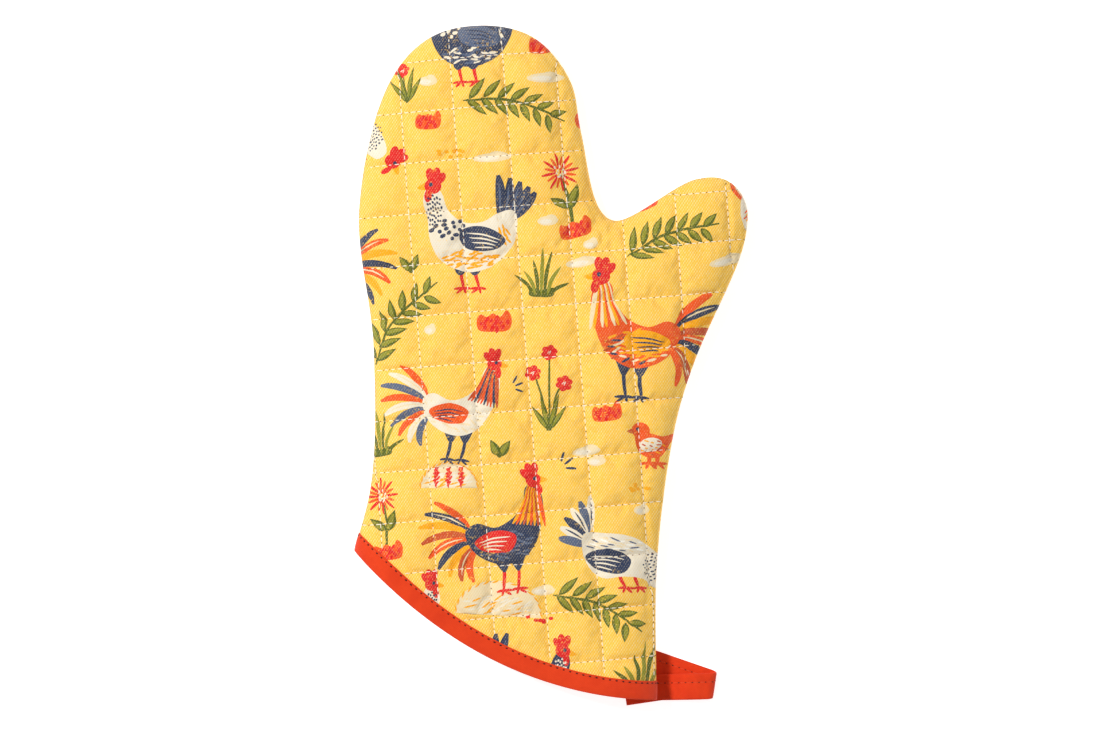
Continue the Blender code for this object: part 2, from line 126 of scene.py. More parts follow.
# Hanging loop
TAPE_WIDTH = 12.8 * MM
TAPE_THICKNESS = 1.0 * MM
LOOP_JOINT = next(joint for joint in frame["joints"] if joint["name"] == "loop_swing")
HINGE_X = LOOP_JOINT["pos_m"][0]
NEAR_TAIL_START = np.array([36.0, -161.0]) * MM
NEAR_START = np.array([53.4, -158.4]) * MM
NEAR_FOLD = np.array([76.6, -157.6]) * MM
FAR_ANGLE = math.radians(17.0)
FAR_MIDDLE = 0.6 * MM
NEAR_MIDDLE = 2.2 * MM
FOLD_RADIUS = 3.1 * MM
LOOP_TOP = FAR_MIDDLE + 2 * FOLD_RADIUS
RAMP_END_X = 71.0 * MM
LOOP_STITCH_INSET = 4.3 * MM


# Light and camera
VIEW_WIDTH = 537.8 * MM
FOCAL_LENGTH = 200.0
SENSOR_WIDTH = 36.0


# ---------------------------------------------------------------- flat curves and the inflated surface

def smooth_curve(points, steps=12, closed=False):
    """Centripetal Catmull-Rom curve through the points."""
    points = np.asarray(points, dtype=float)
    if closed:
        points = np.vstack([points[-1], points, points[0], points[1]])
    else:
        points = np.vstack([2 * points[0] - points[1], points, 2 * points[-1] - points[-2]])
    curve = []
    for p0, p1, p2, p3 in zip(points, points[1:], points[2:], points[3:]):
        t1 = math.sqrt(np.linalg.norm(p1 - p0))
        t2 = t1 + math.sqrt(np.linalg.norm(p2 - p1))
        t3 = t2 + math.sqrt(np.linalg.norm(p3 - p2))
        t = np.linspace(t1, t2, steps, endpoint=False)[:, None]
        a1 = (t1 - t) / t1 * p0 + t / t1 * p1
        a2 = (t2 - t) / (t2 - t1) * p1 + (t - t1) / (t2 - t1) * p2
        a3 = (t3 - t) / (t3 - t2) * p2 + (t - t2) / (t3 - t2) * p3
        b1 = (t2 - t) / t2 * a1 + t / t2 * a2
        b2 = (t3 - t) / (t3 - t1) * a2 + (t - t1) / (t3 - t1) * a3
        curve.append((t2 - t) / (t2 - t1) * b1 + (t - t1) / (t2 - t1) * b2)
    curve = np.vstack(curve)
    return curve if closed else np.vstack([curve, points[-2]])


def bezier(start, handle_a, handle_b, end, steps=80):
    t = np.linspace(0.0, 1.0, steps + 1)[:, None]
    u = 1.0 - t
    return u ** 3 * start + 3 * u * u * t * handle_a + 3 * u * t * t * handle_b + t ** 3 * end


def arc_lengths(curve):
    steps = np.linalg.norm(np.diff(curve, axis=0), axis=1)
    return np.concatenate([[0.0], np.cumsum(steps)])


def points_at(curve, distances):
    lengths = arc_lengths(curve)
    return np.stack([np.interp(distances, lengths, curve[:, k]) for k in range(curve.shape[1])], axis=-1)


def points_at_lengths(values, lengths, distances):
    return np.stack([np.interp(distances, lengths, values[:, k]) for k in range(values.shape[1])], axis=1)


def unit(vectors):
    vectors = np.asarray(vectors, dtype=float)
    return vectors / np.linalg.norm(vectors, axis=-1, keepdims=True)


def in_chunks(function, points, size=6000):
    """Runs a per-point function piece by piece, so that its big tables stay small."""
    points = np.atleast_2d(points)
    return np.concatenate([function(points[k:k + size]) for k in range(0, len(points), size)])


def distance_to(points, curve):
    """Shortest distance from each point to a polyline."""
    start = curve[:-1]
    along = curve[1:] - start

    def shortest(some):
        offset = some[:, None, :] - start[None, :, :]
        t = np.clip((offset * along).sum(2) / (along ** 2).sum(1), 0.0, 1.0)
        return np.linalg.norm(offset - t[:, :, None] * along, axis=2).min(axis=1)

    return in_chunks(shortest, points)


def inside(points, polygon):
    """Even-odd test of points against a closed polygon."""
    x, y = np.atleast_2d(points).T
    result = np.zeros(len(x), dtype=bool)
    for (ax, ay), (bx, by) in zip(polygon, np.roll(polygon, -1, axis=0)):
        crosses = (ay > y) != (by > y)
        at_x = ax + (y - ay) * (bx - ax) / (by - ay if by != ay else 1.0)
        result ^= crosses & (x < at_x)
    return result


SEAM = smooth_curve(np.array(SEAM_POINTS_MM) * MM)
CUFF = bezier(SEAM[0], *(np.array(CUFF_HANDLES_MM) * MM), SEAM[-1])
SEAM_LENGTH = arc_lengths(SEAM)[-1]
CUFF_LENGTH = arc_lengths(CUFF)[-1]
LEFT_SIDE = unit(points_at(SEAM, 12 * MM) - SEAM[0])
RIGHT_SIDE = unit(SEAM[-13] - SEAM[-1])
SEAM_GUIDE = np.vstack([SEAM[0] - LEFT_SIDE * 80 * MM, SEAM, SEAM[-1] - RIGHT_SIDE * 80 * MM])
CORNER_REACH_ALONG = 25.0 * MM


def seam_distance(points):
    """Smooth distance to the whole seam: an inverse-cube line integral, exact on each segment."""
    start = SEAM_GUIDE[:-1]
    along = np.diff(SEAM_GUIDE, axis=0)
    lengths = np.linalg.norm(along, axis=1)
    along = along / lengths[:, None]

    def distance(some):
        offset = some[:, None, :] - start
        s1 = -(offset * along).sum(2)
        s2 = s1 + lengths
        d2 = np.maximum((offset ** 2).sum(2) - s1 ** 2, 1e-12)
        pull = (s2 / np.sqrt(d2 + s2 ** 2) - s1 / np.sqrt(d2 + s1 ** 2)) / d2
        return np.sqrt(2.0 / pull.sum(axis=1))

    return in_chunks(distance, points)


def rise(points, side):
    """Height of the outer face above (front, +1) or below (back, -1) the seam."""
    crown, shoulder = (FRONT_CROWN, FRONT_SHOULDER) if side > 0 else (BACK_CROWN, BACK_SHOULDER)
    t = np.minimum(seam_distance(points) / shoulder, 1.0)
    return crown * np.sqrt(1.0 - (1.0 - t) ** 2)


def lift(points):
    """How far the cuff and its thumb-side corner stand off the table."""
    near_cuff = np.clip(1.0 - distance_to(points, CUFF) / CUFF_LIFT_REACH, 0.0, 1.0)
    outside = points[:, 1] < -60 * MM
    corner = np.linalg.norm(points - SEAM[-1], axis=1) / CORNER_REACH
    bump = np.clip(1.0 - corner ** 2, 0.0, 1.0) ** 2
    return CUFF_LIFT * near_cuff ** 2 * (3 - 2 * near_cuff) * outside + CORNER_LIFT * bump


def surface(points, side, offset, on_seam=None, seam_normals=None):
    """World points and normals of the surface offset outside (+) or inside (-) the outer face."""
    points = np.atleast_2d(points)
    delta = 0.02 * MM
    height = rise(points, side)
    slope_x = (rise(points + (delta, 0.0), side) - rise(points - (delta, 0.0), side)) / (2 * delta)
    slope_y = (rise(points + (0.0, delta), side) - rise(points - (0.0, delta), side)) / (2 * delta)
    normals = np.stack([-slope_x, -slope_y, np.full(len(points), float(side))], axis=1)
    if on_seam is not None:
        height[on_seam] = 0.0
        normals[on_seam] = np.c_[seam_normals, np.zeros(len(seam_normals))]
    normals = unit(normals)
    world = np.c_[points, SEAM_HEIGHT + side * (height + SEAM_GAP / 2)] + normals * offset
    world[:, 2] += lift(world[:, :2])
    return world, normals


def cuff_points(distances, inward):
    """Points at these lengths along the cuff edge and this far up into the mitt."""
    distances = np.atleast_1d(distances)
    step = 0.5 * MM
    before = points_at(CUFF, np.maximum(distances - step, 0.0))
    along = unit(points_at(CUFF, np.minimum(distances + step, CUFF_LENGTH)) - before)
    normal = np.stack([-along[:, 1], along[:, 0]], axis=1)
    left = np.clip(1.0 - distances / CORNER_REACH_ALONG, 0.0, 1.0)[:, None]
    right = np.clip(1.0 - (CUFF_LENGTH - distances) / CORNER_REACH_ALONG, 0.0, 1.0)[:, None]
    direction = unit(normal * (1.0 - left - right) + LEFT_SIDE * left + RIGHT_SIDE * right)
    return points_at(CUFF, distances) + direction * np.atleast_1d(inward)[:, None]


def outward_normals(samples):
    """Flat normals that point out of the mitt along an open run of seam samples."""
    tangents = np.gradient(samples, axis=0)
    tangents[0] = LEFT_SIDE
    tangents[-1] = -RIGHT_SIDE
    return unit(np.c_[-tangents[:, 1], tangents[:, 0]])


# ---------------------------------------------------------------- drawing the print

# Inks as they look, red, green and blue from 0 to 255.
GROUND = (254, 205, 88)
NAVY = (50, 62, 92)
SLATE = (88, 102, 132)
ORANGE = (238, 88, 32)
RED = (224, 36, 38)
RUST = (200, 82, 44)
GREEN = (88, 100, 34)
OLIVE = (142, 142, 46)
CREAM = (238, 228, 210)
STRAW = (239, 219, 180)
GOLD = (248, 170, 16)
# Painted shade in the quilting's needle holes, laid into the ink layer
HOLE_SHADE = (120, 78, 52)
# Painted highlight where light catches the raised twill yarns
TWILL_HIGHLIGHT = (255, 240, 200)


def turned(outline, x, y, turn):
    """An outline turned by some degrees and moved to (x, y)."""
    c, s = math.cos(math.radians(turn)), math.sin(math.radians(turn))
    outline = np.asarray(outline, dtype=float)
    return np.c_[x + outline[:, 0] * c - outline[:, 1] * s, y + outline[:, 0] * s + outline[:, 1] * c]


def counterclockwise(polygon):
    ahead = np.roll(polygon, -1, axis=0)
    area = (polygon[:, 0] * ahead[:, 1] - ahead[:, 0] * polygon[:, 1]).sum()
    return polygon if area > 0 else polygon[::-1]


def placed(shapes, x, y, size=1.0, turn=0.0, flip=False):
    """The shapes of one motif moved to their place on the cloth, in millimetres."""
    scale = (-size if flip else size, size)
    return [(counterclockwise(turned(outline * scale, x, y, turn)), ink) for outline, ink in shapes]


def ellipse(x, y, rx, ry, turn=0.0, count=14):
    angles = np.linspace(0.0, 2 * math.pi, count, endpoint=False)
    return turned(np.c_[rx * np.cos(angles), ry * np.sin(angles)], x, y, turn)


def blob(*points):
    return smooth_curve(points, 4, closed=True)


def brush(path, width, tip=0.25):
    """A brush mark along a path: full in the middle, tapered to its two ends."""
    path = np.asarray(path, dtype=float)
    tangents = unit(np.gradient(path, axis=0))
    normals = np.c_[-tangents[:, 1], tangents[:, 0]]
    t = np.linspace(0.0, 1.0, len(path))[:, None]
    half = width / 2 * (tip + (1 - tip) * np.sin(math.pi * t) ** 0.6)
    return np.vstack([path + normals * half, (path - normals * half)[::-1]])


def stroke(points, width, tip=0.25):
    if len(points) == 2:
        return brush(np.linspace(points[0], points[1], 4), width, tip)
    return brush(smooth_curve(points, 4), width, tip)


def dashes(x, y, rx, ry, count, inks, width, length, lean, spread=18.0):
    """Short brush marks scattered over an ellipse, all leaning about the same way."""
    seeded = np.random.default_rng(count)
    shapes = []
    for k in range(count):
        angle, reach = 2.4 * k, math.sqrt((k + 0.5) / count)
        half = length / 2 * seeded.uniform(0.7, 1.2)
        outline = [(-half, 0), (-half / 2, -width / 2), (half / 2, -width / 2), (half, 0),
                   (half / 2, width / 2), (-half / 2, width / 2)]
        turn = lean + seeded.uniform(-spread, spread)
        place = (x + rx * reach * math.cos(angle), y + ry * reach * math.sin(angle))
        shapes.append((turned(outline, *place, turn), inks[k % len(inks)]))
    return shapes


def plume(x, y, reach, turn, curl, width, ink, line=None):
    """A curved feather from its root, heading off at turn and curling as it goes, with a fine line."""
    angles = np.radians(turn + curl * np.linspace(0.0, 1.0, 7))
    path = (x, y) + np.cumsum(np.c_[np.cos(angles), np.sin(angles)] * reach / 6, axis=0)
    shapes = [(brush(path, width, 0.35), ink)]
    if line:
        shapes.append((brush(path[1:-1] + (0.4, 0.2), width * 0.2), line))
    return shapes


def leaf(x, y, length, width, turn):
    """A pointed leaf from its root, half of it lighter."""
    t = np.linspace(0.0, 1.0, 7)
    edge = np.c_[t * length, width / 2 * np.sin(math.pi * t ** 0.8)]
    whole = np.vstack([edge, (edge * (1, -1))[-2:0:-1]])
    lit = np.vstack([edge[1:-1] * (1, 0.7), (edge * (1, -0.3))[-2:0:-1]])
    return [(turned(whole, x, y, turn), GREEN), (turned(lit, x, y, turn), OLIVE)]


def legs(xs, top, length, ink, lean=-1.5):
    shapes = []
    for x in xs:
        foot = np.array([x + lean, top - length])
        shapes.append((stroke([(x, top), (x + lean * 0.2, top - length * 0.5), foot], 1.7, 0.6), ink))
        for toe in ((4.6, -0.6), (3.4, -2.6), (-1.0, -2.6), (-3.4, -0.6)):
            shapes.append((stroke([foot, foot + toe], 1.3, 0.5), ink))
    return shapes


def bird_head(x, y, beak=GOLD):
    """Comb, beak, face, wattle and eye of a bird that looks right."""
    shapes = [(ellipse(x + dx, y + dy, 1.9, 3.2, turn, 10), RED)
              for dx, dy, turn in ((-3.4, 3.4, 38), (-1.4, 5.4, 14), (1.3, 5.2, -10))]
    shapes.append((blob((x + 2.6, y + 1.4), (x + 7.2, y - 0.8), (x + 2.6, y - 1.6)), beak))
    shapes.append((ellipse(x, y, 3.8, 3.5), RED))
    shapes.append((ellipse(x + 2.2, y - 4.4, 1.7, 3.0, 6, 10), RED))
    return shapes + [(ellipse(x + 0.9, y + 0.7, 0.9, 1.0, 0, 8), NAVY)]


def wing(x, y, size, ink, line, turn=0.0):
    """A folded wing that points left, with light lines along its feathers."""
    outline = blob((8, 3), (2, 5.6), (-6, 4.6), (-13, -0.6), (-9.5, -4.4), (-1, -5.6), (6, -3.6))
    shapes = [(turned(outline * size, x, y, turn), ink)]
    for k in range(4):
        path = [(5 - k * 1.4, 2.6 - 2.2 * k), (-3 - k * 0.6, 1.8 - 1.9 * k), (-10.4 + k, -0.6 - 1.2 * k)]
        shapes.append((turned(stroke(np.array(path) * size, 0.75), x, y, turn), line))
    return shapes


def hen(body, marks, wing_ink, belly, tail, leg=RED):
    """A plump hen that stands looking right."""
    shapes = legs((-2.0, 5.0), -11.0, 11.0, leg)
    shapes += [(ellipse(x, -12.5, 2.8, 4.0, 8), tail) for x in (-2.0, 5.0)]
    for k in range(5):
        line = SLATE if tail == NAVY else STRAW
        shapes += plume(-13 - k, 4 + k, 22 - 1.5 * k, 96 + 11 * k, -16, 4.8, tail, line)
    outline = blob((19, 25), (22, 18), (20, 9), (18.5, -1), (13.5, -10), (2, -15), (-9, -12.5), (-18, -4),
                   (-21, 5), (-20, 13), (-14, 13), (-5, 8), (5, 8.5), (11, 14), (14, 22))
    shapes.append((outline, body))
    shapes += bird_head(17.5, 24.5)
    shapes += dashes(17.0, 13.0, 3.8, 8.0, 38, (marks,), 0.9, 1.5, 70)
    shapes += dashes(10.0, 5.0, 9.0, 4.5, 16, (marks,), 1.7, 2.6, -24)
    shapes += dashes(0.0, -9.2, 13.0, 4.2, 46, belly, 1.1, 4.4, -14, 24)
    shapes += dashes(-14.0, 2.0, 3.4, 5.0, 14, belly, 1.0, 3.8, 62, 20)
    return shapes + wing(-2.5, 0.5, 1.0, wing_ink, body if body != wing_ink else CREAM)


def rooster(body, rough, hackle, wing_inks, tail, leg):
    """A standing rooster that looks right, with a fan of curled tail feathers."""
    shapes = []
    for k in range(9):
        ink = tail[k % len(tail)]
        shapes += plume(-13 + 0.3 * k, 3 - 0.5 * k, 25 - 1.3 * abs(k - 2), 112 + 13 * k, 40 + 4 * k, 3.5, ink,
                        STRAW if k % 3 == 1 else None)
    shapes += legs((-1.0, 6.0), -12.0, 12.0, leg)
    thigh_ink = body if leg == RED else leg
    shapes += [(blob((x - 4, -7), (x + 4, -6), (x + 2.2, -13), (x, -16), (x - 2.4, -13)), thigh_ink)
               for x in (-1.0, 6.0)]
    outline = blob((19, 25), (22, 17), (20, 6), (14, -6), (4, -12), (-7, -10), (-15, -3), (-17, 6), (-11, 9),
                   (-3, 6), (6, 9), (12, 16), (14, 23))
    shapes.append((outline, body))
    shapes += dashes(1.0, -3.0, 14.0, 7.0, 54, rough, 1.0, 4.6, -16, 26)
    for k in range(10):
        path = [(15.5 + 0.5 * k, 24 - 0.3 * k), (12.5 + 0.9 * k, 15), (6.0 + 1.7 * k, 6.5 - 0.35 * k)]
        shapes.append((stroke(path, 2.1, 0.3), hackle[k % len(hackle)]))
    return shapes + bird_head(18.5, 26.0) + wing(-1.0, -1.0, 0.95, *wing_inks, -8)


def feeding_hen():
    """A cream hen bent down to peck at the right, its tail high on the left."""
    shapes = legs((2.0, 9.0), -8.0, 8.0, RED, 3.0)
    for k in range(6):
        ink = (CREAM, SLATE, CREAM, NAVY)[k % 4]
        shapes += plume(-13, 8 - k, 17 - k * 0.8, 84 + 15 * k, 14, 4.2, ink, NAVY if ink == CREAM else None)
    shapes += placed(bird_head(0, 0), 29, -19, 1.0, -62)
    outline = blob((-16, 9), (-6, 10), (6, 9), (17, 4), (25, -5), (27, -14), (22, -17), (14, -12), (4, -11),
                   (-6, -12), (-14, -5))
    shapes.append((outline, CREAM))
    shapes += dashes(0.0, 4.0, 14.0, 4.0, 30, (STRAW, SLATE, (252, 250, 244)), 0.7, 5.0, -10)
    shapes += dashes(20.0, -6.0, 6.0, 7.0, 52, (NAVY,), 0.8, 1.2, 40)
    return shapes + wing(-1.0, -4.0, 1.05, NAVY, CREAM, -14)


def chick():
    shapes = legs((-1.0, 2.4), -4.6, 3.0, ORANGE, -0.4)
    body = blob((-6.5, -1), (-2, -5.4), (4, -5), (7.6, 0), (10, 4.4), (4.4, 3.8), (-1, 5), (-7, 6))
    shapes.append((body, ORANGE))
    shapes.append((ellipse(-4.8, 6.0, 3.8, 3.6), ORANGE))
    shapes.append((ellipse(-0.4, 0.0, 4.6, 3.2, 8), CREAM))
    shapes.append((blob((-8.0, 6.8), (-11.0, 5.8), (-8.0, 4.8)), RUST))
    shapes.append((ellipse(-5.8, 6.6, 0.8, 0.8, 0, 7), NAVY))
    return shapes + dashes(1.0, -1.0, 6.0, 3.4, 16, (GOLD, RUST), 0.6, 2.2, -16)


def sprig(length, pairs, bow=5.0):
    """A bowed stem that runs right, with pairs of pointed leaves."""
    shapes = [(stroke([(0, 0), (length / 2, bow), (length * 1.1, 0.6)], 1.3, 0.5), GREEN)]
    for k in range(pairs):
        t = (k + 0.4) / pairs
        x, y = length * t, 4 * bow * t * (1 - t)
        lean = math.degrees(math.atan(4 * bow * (1 - 2 * t) / length))
        size = 13.0 * (1 - 0.3 * t)
        shapes += leaf(x, y, size, 3.8, lean + 44) + leaf(x - 1.2, y, size, 3.8, lean - 48)
    return shapes


def clump(width=13.0):
    """A low painted tuft with three rounded points."""
    w = width / 2
    crown = blob((-w * 0.9, -3.6), (-w, 1.0), (-w * 0.78, 3.2), (-w * 0.45, 2.2), (-w * 0.05, 3.6),
                 (w * 0.36, 2.0), (w * 0.74, 5.2), (w * 1.02, 2.4), (w * 0.88, -3.4), (0, -4.5))
    marks = dashes(0, -0.6, w * 0.84, 2.9, int(width * 1.6), (RED, ORANGE, RED), 1.5, 3.2, 74)
    return [(crown, ORANGE)] + marks


def small_flower(x, y):
    petals = [(ellipse(x + 2.4 * math.cos(a), y + 2.4 * math.sin(a), 1.8, 1.5, 0, 9), RED)
              for a in np.linspace(0.3, 2 * math.pi + 0.3, 6, endpoint=False)]
    middle = [(ellipse(x, y, 1.4, 1.4, 0, 8), RED)]
    return petals + middle + dashes(x, y, 0.9, 0.9, 5, (CREAM,), 0.5, 0.8, 0)


def flowers(heads, height=15.0):
    """Small flowers on stems from one root, with long upright leaves."""
    shapes = []
    for x, y in heads:
        shapes.append((stroke([(0.1 * x, -height), (0.5 * x, -height * 0.3), (x, y)], 1.0, 0.8), GREEN))
        shapes += small_flower(x, y)
    for turn, length in ((56, 15), (76, 19), (104, 18), (126, 15)):
        shapes += leaf(0, -height, length, 2.8, turn)
    return shapes


def star_flower():
    """A round flower of thin petals on a stem with two broad leaves, above a tuft."""
    shapes = [(stroke([(0, -1), (1.5, -14), (0, -27)], 1.7, 0.8), GREEN)]
    shapes += leaf(0.8, -19, 13, 5.0, 62) + leaf(0.8, -18, 11, 4.6, 140)
    for k in range(16):
        angle = 2 * math.pi * k / 16
        reach = 9.4 if k % 2 == 0 else 7.8
        outward = np.array([math.cos(angle), math.sin(angle)])
        shapes.append((stroke([outward * 2.2, outward * reach], 1.4, 0.5), (RED, ORANGE)[k % 2]))
    shapes += dashes(0, 0, 3.4, 3.4, 16, (RED, CREAM, CREAM), 0.9, 1.8, 90, 90)
    return shapes + placed(clump(16.0), 0.5, -28.5)


def sprout():
    """Two short leaves in a V."""
    bud = [(ellipse(0, -3.6, 1.2, 1.8, 0, 9), GREEN)]
    return leaf(0, -4.6, 9.6, 4.4, 62) + leaf(0, -4.6, 9.2, 4.6, 122) + bud


def cloud(width=20.0):
    """A long pale smear."""
    return [(ellipse(0, 0, width / 2, 2.3, 4), STRAW),
            (ellipse(width * 0.16, 1.3, width * 0.26, 1.8, 0), STRAW),
            (ellipse(-width * 0.1, -0.4, width * 0.28, 1.2, 3), CREAM)]


def grass(blades=7):
    """A tuft with a solid foot and tapering blades."""
    shapes = [(blob((-5.6, 0), (-5.0, 3.4), (0, 2.6), (5.4, 3.6), (5.8, 0.2), (0, -0.8)), GREEN)]
    for k in range(blades):
        lean = k / (blades - 1) * 2 - 1
        top = 20 - 11 * abs(lean) ** 1.4 + 3 * math.sin(5.0 * k)
        root = 4.2 * lean
        path = [(root, 0), (root + 2.2 * lean, top * 0.5), (root + 8.5 * lean, top)]
        shapes.append((stroke(path, 1.8, 0.12), (GREEN, OLIVE)[k % 2]))
    return shapes


def mound(width, height):
    """A pale hillock with a flat foot and dry brush marks along its rim."""
    angles = np.linspace(0.0, math.pi, 12)
    dome = np.c_[width / 2 * np.cos(angles), height * np.sin(angles) ** 0.9]
    shapes = [(dome, STRAW)]
    shapes += dashes(0, height * 0.3, width * 0.4, height * 0.26, 34, (CREAM, GOLD, CREAM), 0.8, 6.0, 24)
    for k in range(14):
        angle = math.pi * (k + 0.5) / 14
        place = (width / 2 * math.cos(angle), height * math.sin(angle) ** 0.9 - 0.5)
        shapes.append((turned(stroke([(-1.8, 0), (1.8, 0.3)], 0.9), *place, math.degrees(angle) + 100), GOLD))
    return shapes


def red_spikes():
    """Three red ears on thin stems."""
    shapes = []
    for x, lean in ((-7, -6), (0, 3), (7, 5)):
        shapes.append((stroke([(x, -6), (x + lean * 0.2, 6)], 0.7, 0.7), RUST))
        shapes += dashes(x, 1.0, 1.5, 5.4, 16, (RED,), 1.2, 2.6, 64 + lean, 28)
    return shapes


def dots(ink, count=9):
    seeded = np.random.default_rng(count)
    return [(ellipse(x, y, 1.2, 0.9, 0, 8), ink) for x, y in seeded.uniform((-6, -1.8), (6, 1.8), (count, 2))]


def call_marks():
    """Three short marks beside a crowing beak."""
    return [(stroke([(3 * math.cos(a), 3 * math.sin(a)), (8 * math.cos(a), 8 * math.sin(a))], 1.3, 0.6), NAVY)
            for a in (-0.5, 0.2, 0.9)]


# Place, width and turn of every pale smear
CLOUDS = (
    (-3, 140, 19, 0), (-29, 101, 19, 0), (-2, 70, 10, 0), (15, 50, 17, 5), (19, 59, 7, 0), (86, 51, 20, 8),
    (-59, 17, 6, 0), (17, -42, 14, 5), (22, -47, 9, 0), (44, -71, 8, 0), (-4, -110, 12, 0), (-60, 138, 9, 0),
)


def farm_print():
    """Every motif of the cloth in the order it is printed, in millimetres on the mitt's plan."""
    navy_hen = hen(NAVY, CREAM, SLATE, (SLATE, CREAM, NAVY), NAVY)
    spotted_hen = hen(CREAM, NAVY, NAVY, (GOLD, GOLD, CREAM), NAVY)
    thumb_hen = hen(CREAM, NAVY, ORANGE, (ORANGE, GOLD, RUST), ORANGE)
    cuff_hen = hen(CREAM, NAVY, SLATE, (GOLD, CREAM), NAVY)
    side_rooster = rooster(CREAM, (STRAW, GOLD), (ORANGE, GOLD), (NAVY, CREAM), (NAVY, ORANGE, GOLD), NAVY)
    orange_rooster = rooster(ORANGE, (GOLD, STRAW, RUST, GOLD, NAVY), (STRAW, ORANGE, GOLD), (GOLD, NAVY),
                             (ORANGE, NAVY, GOLD, RUST), NAVY)
    cream_rooster = rooster(CREAM, (STRAW, CREAM), (RUST, ORANGE, NAVY), (ORANGE, NAVY),
                            (ORANGE, CREAM, SLATE), NAVY)
    navy_rooster = rooster(NAVY, (SLATE, SLATE, NAVY), (GOLD, ORANGE, GOLD, RUST), (RED, CREAM),
                           (ORANGE, NAVY, GOLD, RUST), RED)
    motifs = [(cloud(width), x, y, 1.0, turn) for x, y, width, turn in CLOUDS]
    motifs += [
        (mound(28, 13), -50, -60),
        (red_spikes(), -50, -55, 0.85),
        (mound(42, 17), -26, -122, 1.0, -4),
        (navy_hen, -40, 160, 1.0, 0, True),
        (flowers([(-2, 2)], 15), -71, 142, 0.95, 4),
        (clump(12), -60, 119),
        (clump(12), -5, 157),
        (clump(11), 17, 120),
        (sprig(46, 7), -43, 129, 1.0, -12),
        (dots(GOLD), -49, 103),
        (star_flower(), 4, 94, 1.0, 14),
        (spotted_hen, -39, 61, 1.06, 0, True),
        (feeding_hen(), -108, 116, 1.0, 4),
        (side_rooster, -114, 44, 1.0, 0, True),
        (sprout(), -69, 50, 1.0, 4),
        (sprig(46, 7, 6.0), -86, 0, 1.0, 52),
        (grass(), -5, 34, 1.05, -2),
        (clump(15), -28, 21, 1.1),
        (clump(13), 46, 80, 0.9, 20),
        (sprig(43, 7, 4.0), 37, 53, 1.0, 19),
        (thumb_hen, 108, 70, 0.8, -10),
        (orange_rooster, 43, 12, 1.14, -4, True),
        (flowers([(-8, 2), (0, 12), (7, -3)], 26), -1, -6),
        (clump(14), 27, -23, 1.0, 6),
        (chick(), 49, -39, 1.15),
        (dots(GOLD, 8), 43, -60),
        (cream_rooster, -47, -23, 0.95, -4),
        (call_marks(), -20, -11, 0.8, 10),
        (grass(), -83, -44, 1.0, 8),
        (sprout(), -25, -40, 1.0, -6),
        (star_flower(), -83, -64, 0.95, 6),
        (navy_rooster, -24, -85, 1.02, 8),
        (call_marks(), 4, -50, 1.0, 24),
        (feeding_hen(), 31, -92, 1.0, -2),
        (cuff_hen, -74, -129, 0.9),
        (sprig(42, 7), 1, -112, 1.0, -24),
        (dots(RED, 7), -72, -118),
        (dots(RED, 6), -6, -124),
        (navy_hen, -14, -160, 0.95, -8),
        (grass(), 44, -160, 1.15, -4),
    ]
    return [shape for motif in motifs for shape in placed(*motif)]


# ---------------------------------------------------------------- quilting

def quilt_coordinates(points):
    """Place on the turned quilting grid, in cells of the simulation grid; lines are whole multiples."""
    c, s = math.cos(QUILT_ANGLE), math.sin(QUILT_ANGLE)
    u = points[:, 0] * c + points[:, 1] * s - QUILT_ORIGIN[0]
    v = -points[:, 0] * s + points[:, 1] * c - QUILT_ORIGIN[1]
    return np.stack([u / QUILT_PITCH[0], v / QUILT_PITCH[1]], axis=1) * QUILT_CELLS


def quilt_point(cells):
    """The inverse of quilt_coordinates."""
    u = cells[..., 0] / QUILT_CELLS * QUILT_PITCH[0] + QUILT_ORIGIN[0]
    v = cells[..., 1] / QUILT_CELLS * QUILT_PITCH[1] + QUILT_ORIGIN[1]
    c, s = math.cos(QUILT_ANGLE), math.sin(QUILT_ANGLE)
    return np.stack([u * c - v * s, u * s + v * c], axis=-1)


PLAN = np.vstack([SEAM, CUFF[-2:0:-1]])
GRID_LOW = np.floor(quilt_coordinates(PLAN).min(axis=0)).astype(int) - 3
GRID_SIZE = np.ceil(quilt_coordinates(PLAN).max(axis=0)).astype(int) + 3 - GRID_LOW


def simulation_grid():
    """The cells of the quilting grid that lie well inside the seam and above the binding."""
    i, j = np.meshgrid(np.arange(GRID_SIZE[0]), np.arange(GRID_SIZE[1]), indexing="ij")
    cells = np.stack([i, j], axis=-1).reshape(-1, 2)
    points = quilt_point(cells + GRID_LOW)
    edge = np.vstack([PLAN, PLAN[:1]])
    usable = inside(points, PLAN) & (distance_to(points, edge) > 2.2 * MM)
    usable &= distance_to(points, CUFF) > BINDING_WIDTH + 1.0 * MM
    return points, usable.reshape(GRID_SIZE)


def cloth_mesh(positions, usable):
    """A mesh object of the usable cells, and the grid number of each of its vertices."""
    number = np.full(usable.size, -1)
    flat = usable.ravel()
    quads = []
    rows = GRID_SIZE[1]
    full = usable[:-1, :-1] & usable[1:, :-1] & usable[:-1, 1:] & usable[1:, 1:]
    for i, j in zip(*np.nonzero(full)):
        a = i * rows + j
        quads.append((a, a + rows, a + rows + 1, a + 1))
    used = np.unique(np.array(quads))
    used = used[flat[used]]
    number[used] = np.arange(len(used))
    faces = [[int(number[a]) for a in quad] for quad in quads]
    mesh = bpy.data.meshes.new("quilting_cloth")
    mesh.from_pydata(positions[used].tolist(), [], faces)
    obj = bpy.data.objects.new("quilting_cloth", mesh)
    bpy.context.scene.collection.objects.link(obj)
    edge_use = np.zeros(len(used), dtype=int)
    for face in faces:
        for a in face:
            edge_use[a] += 1
    return obj, used, edge_use < 4


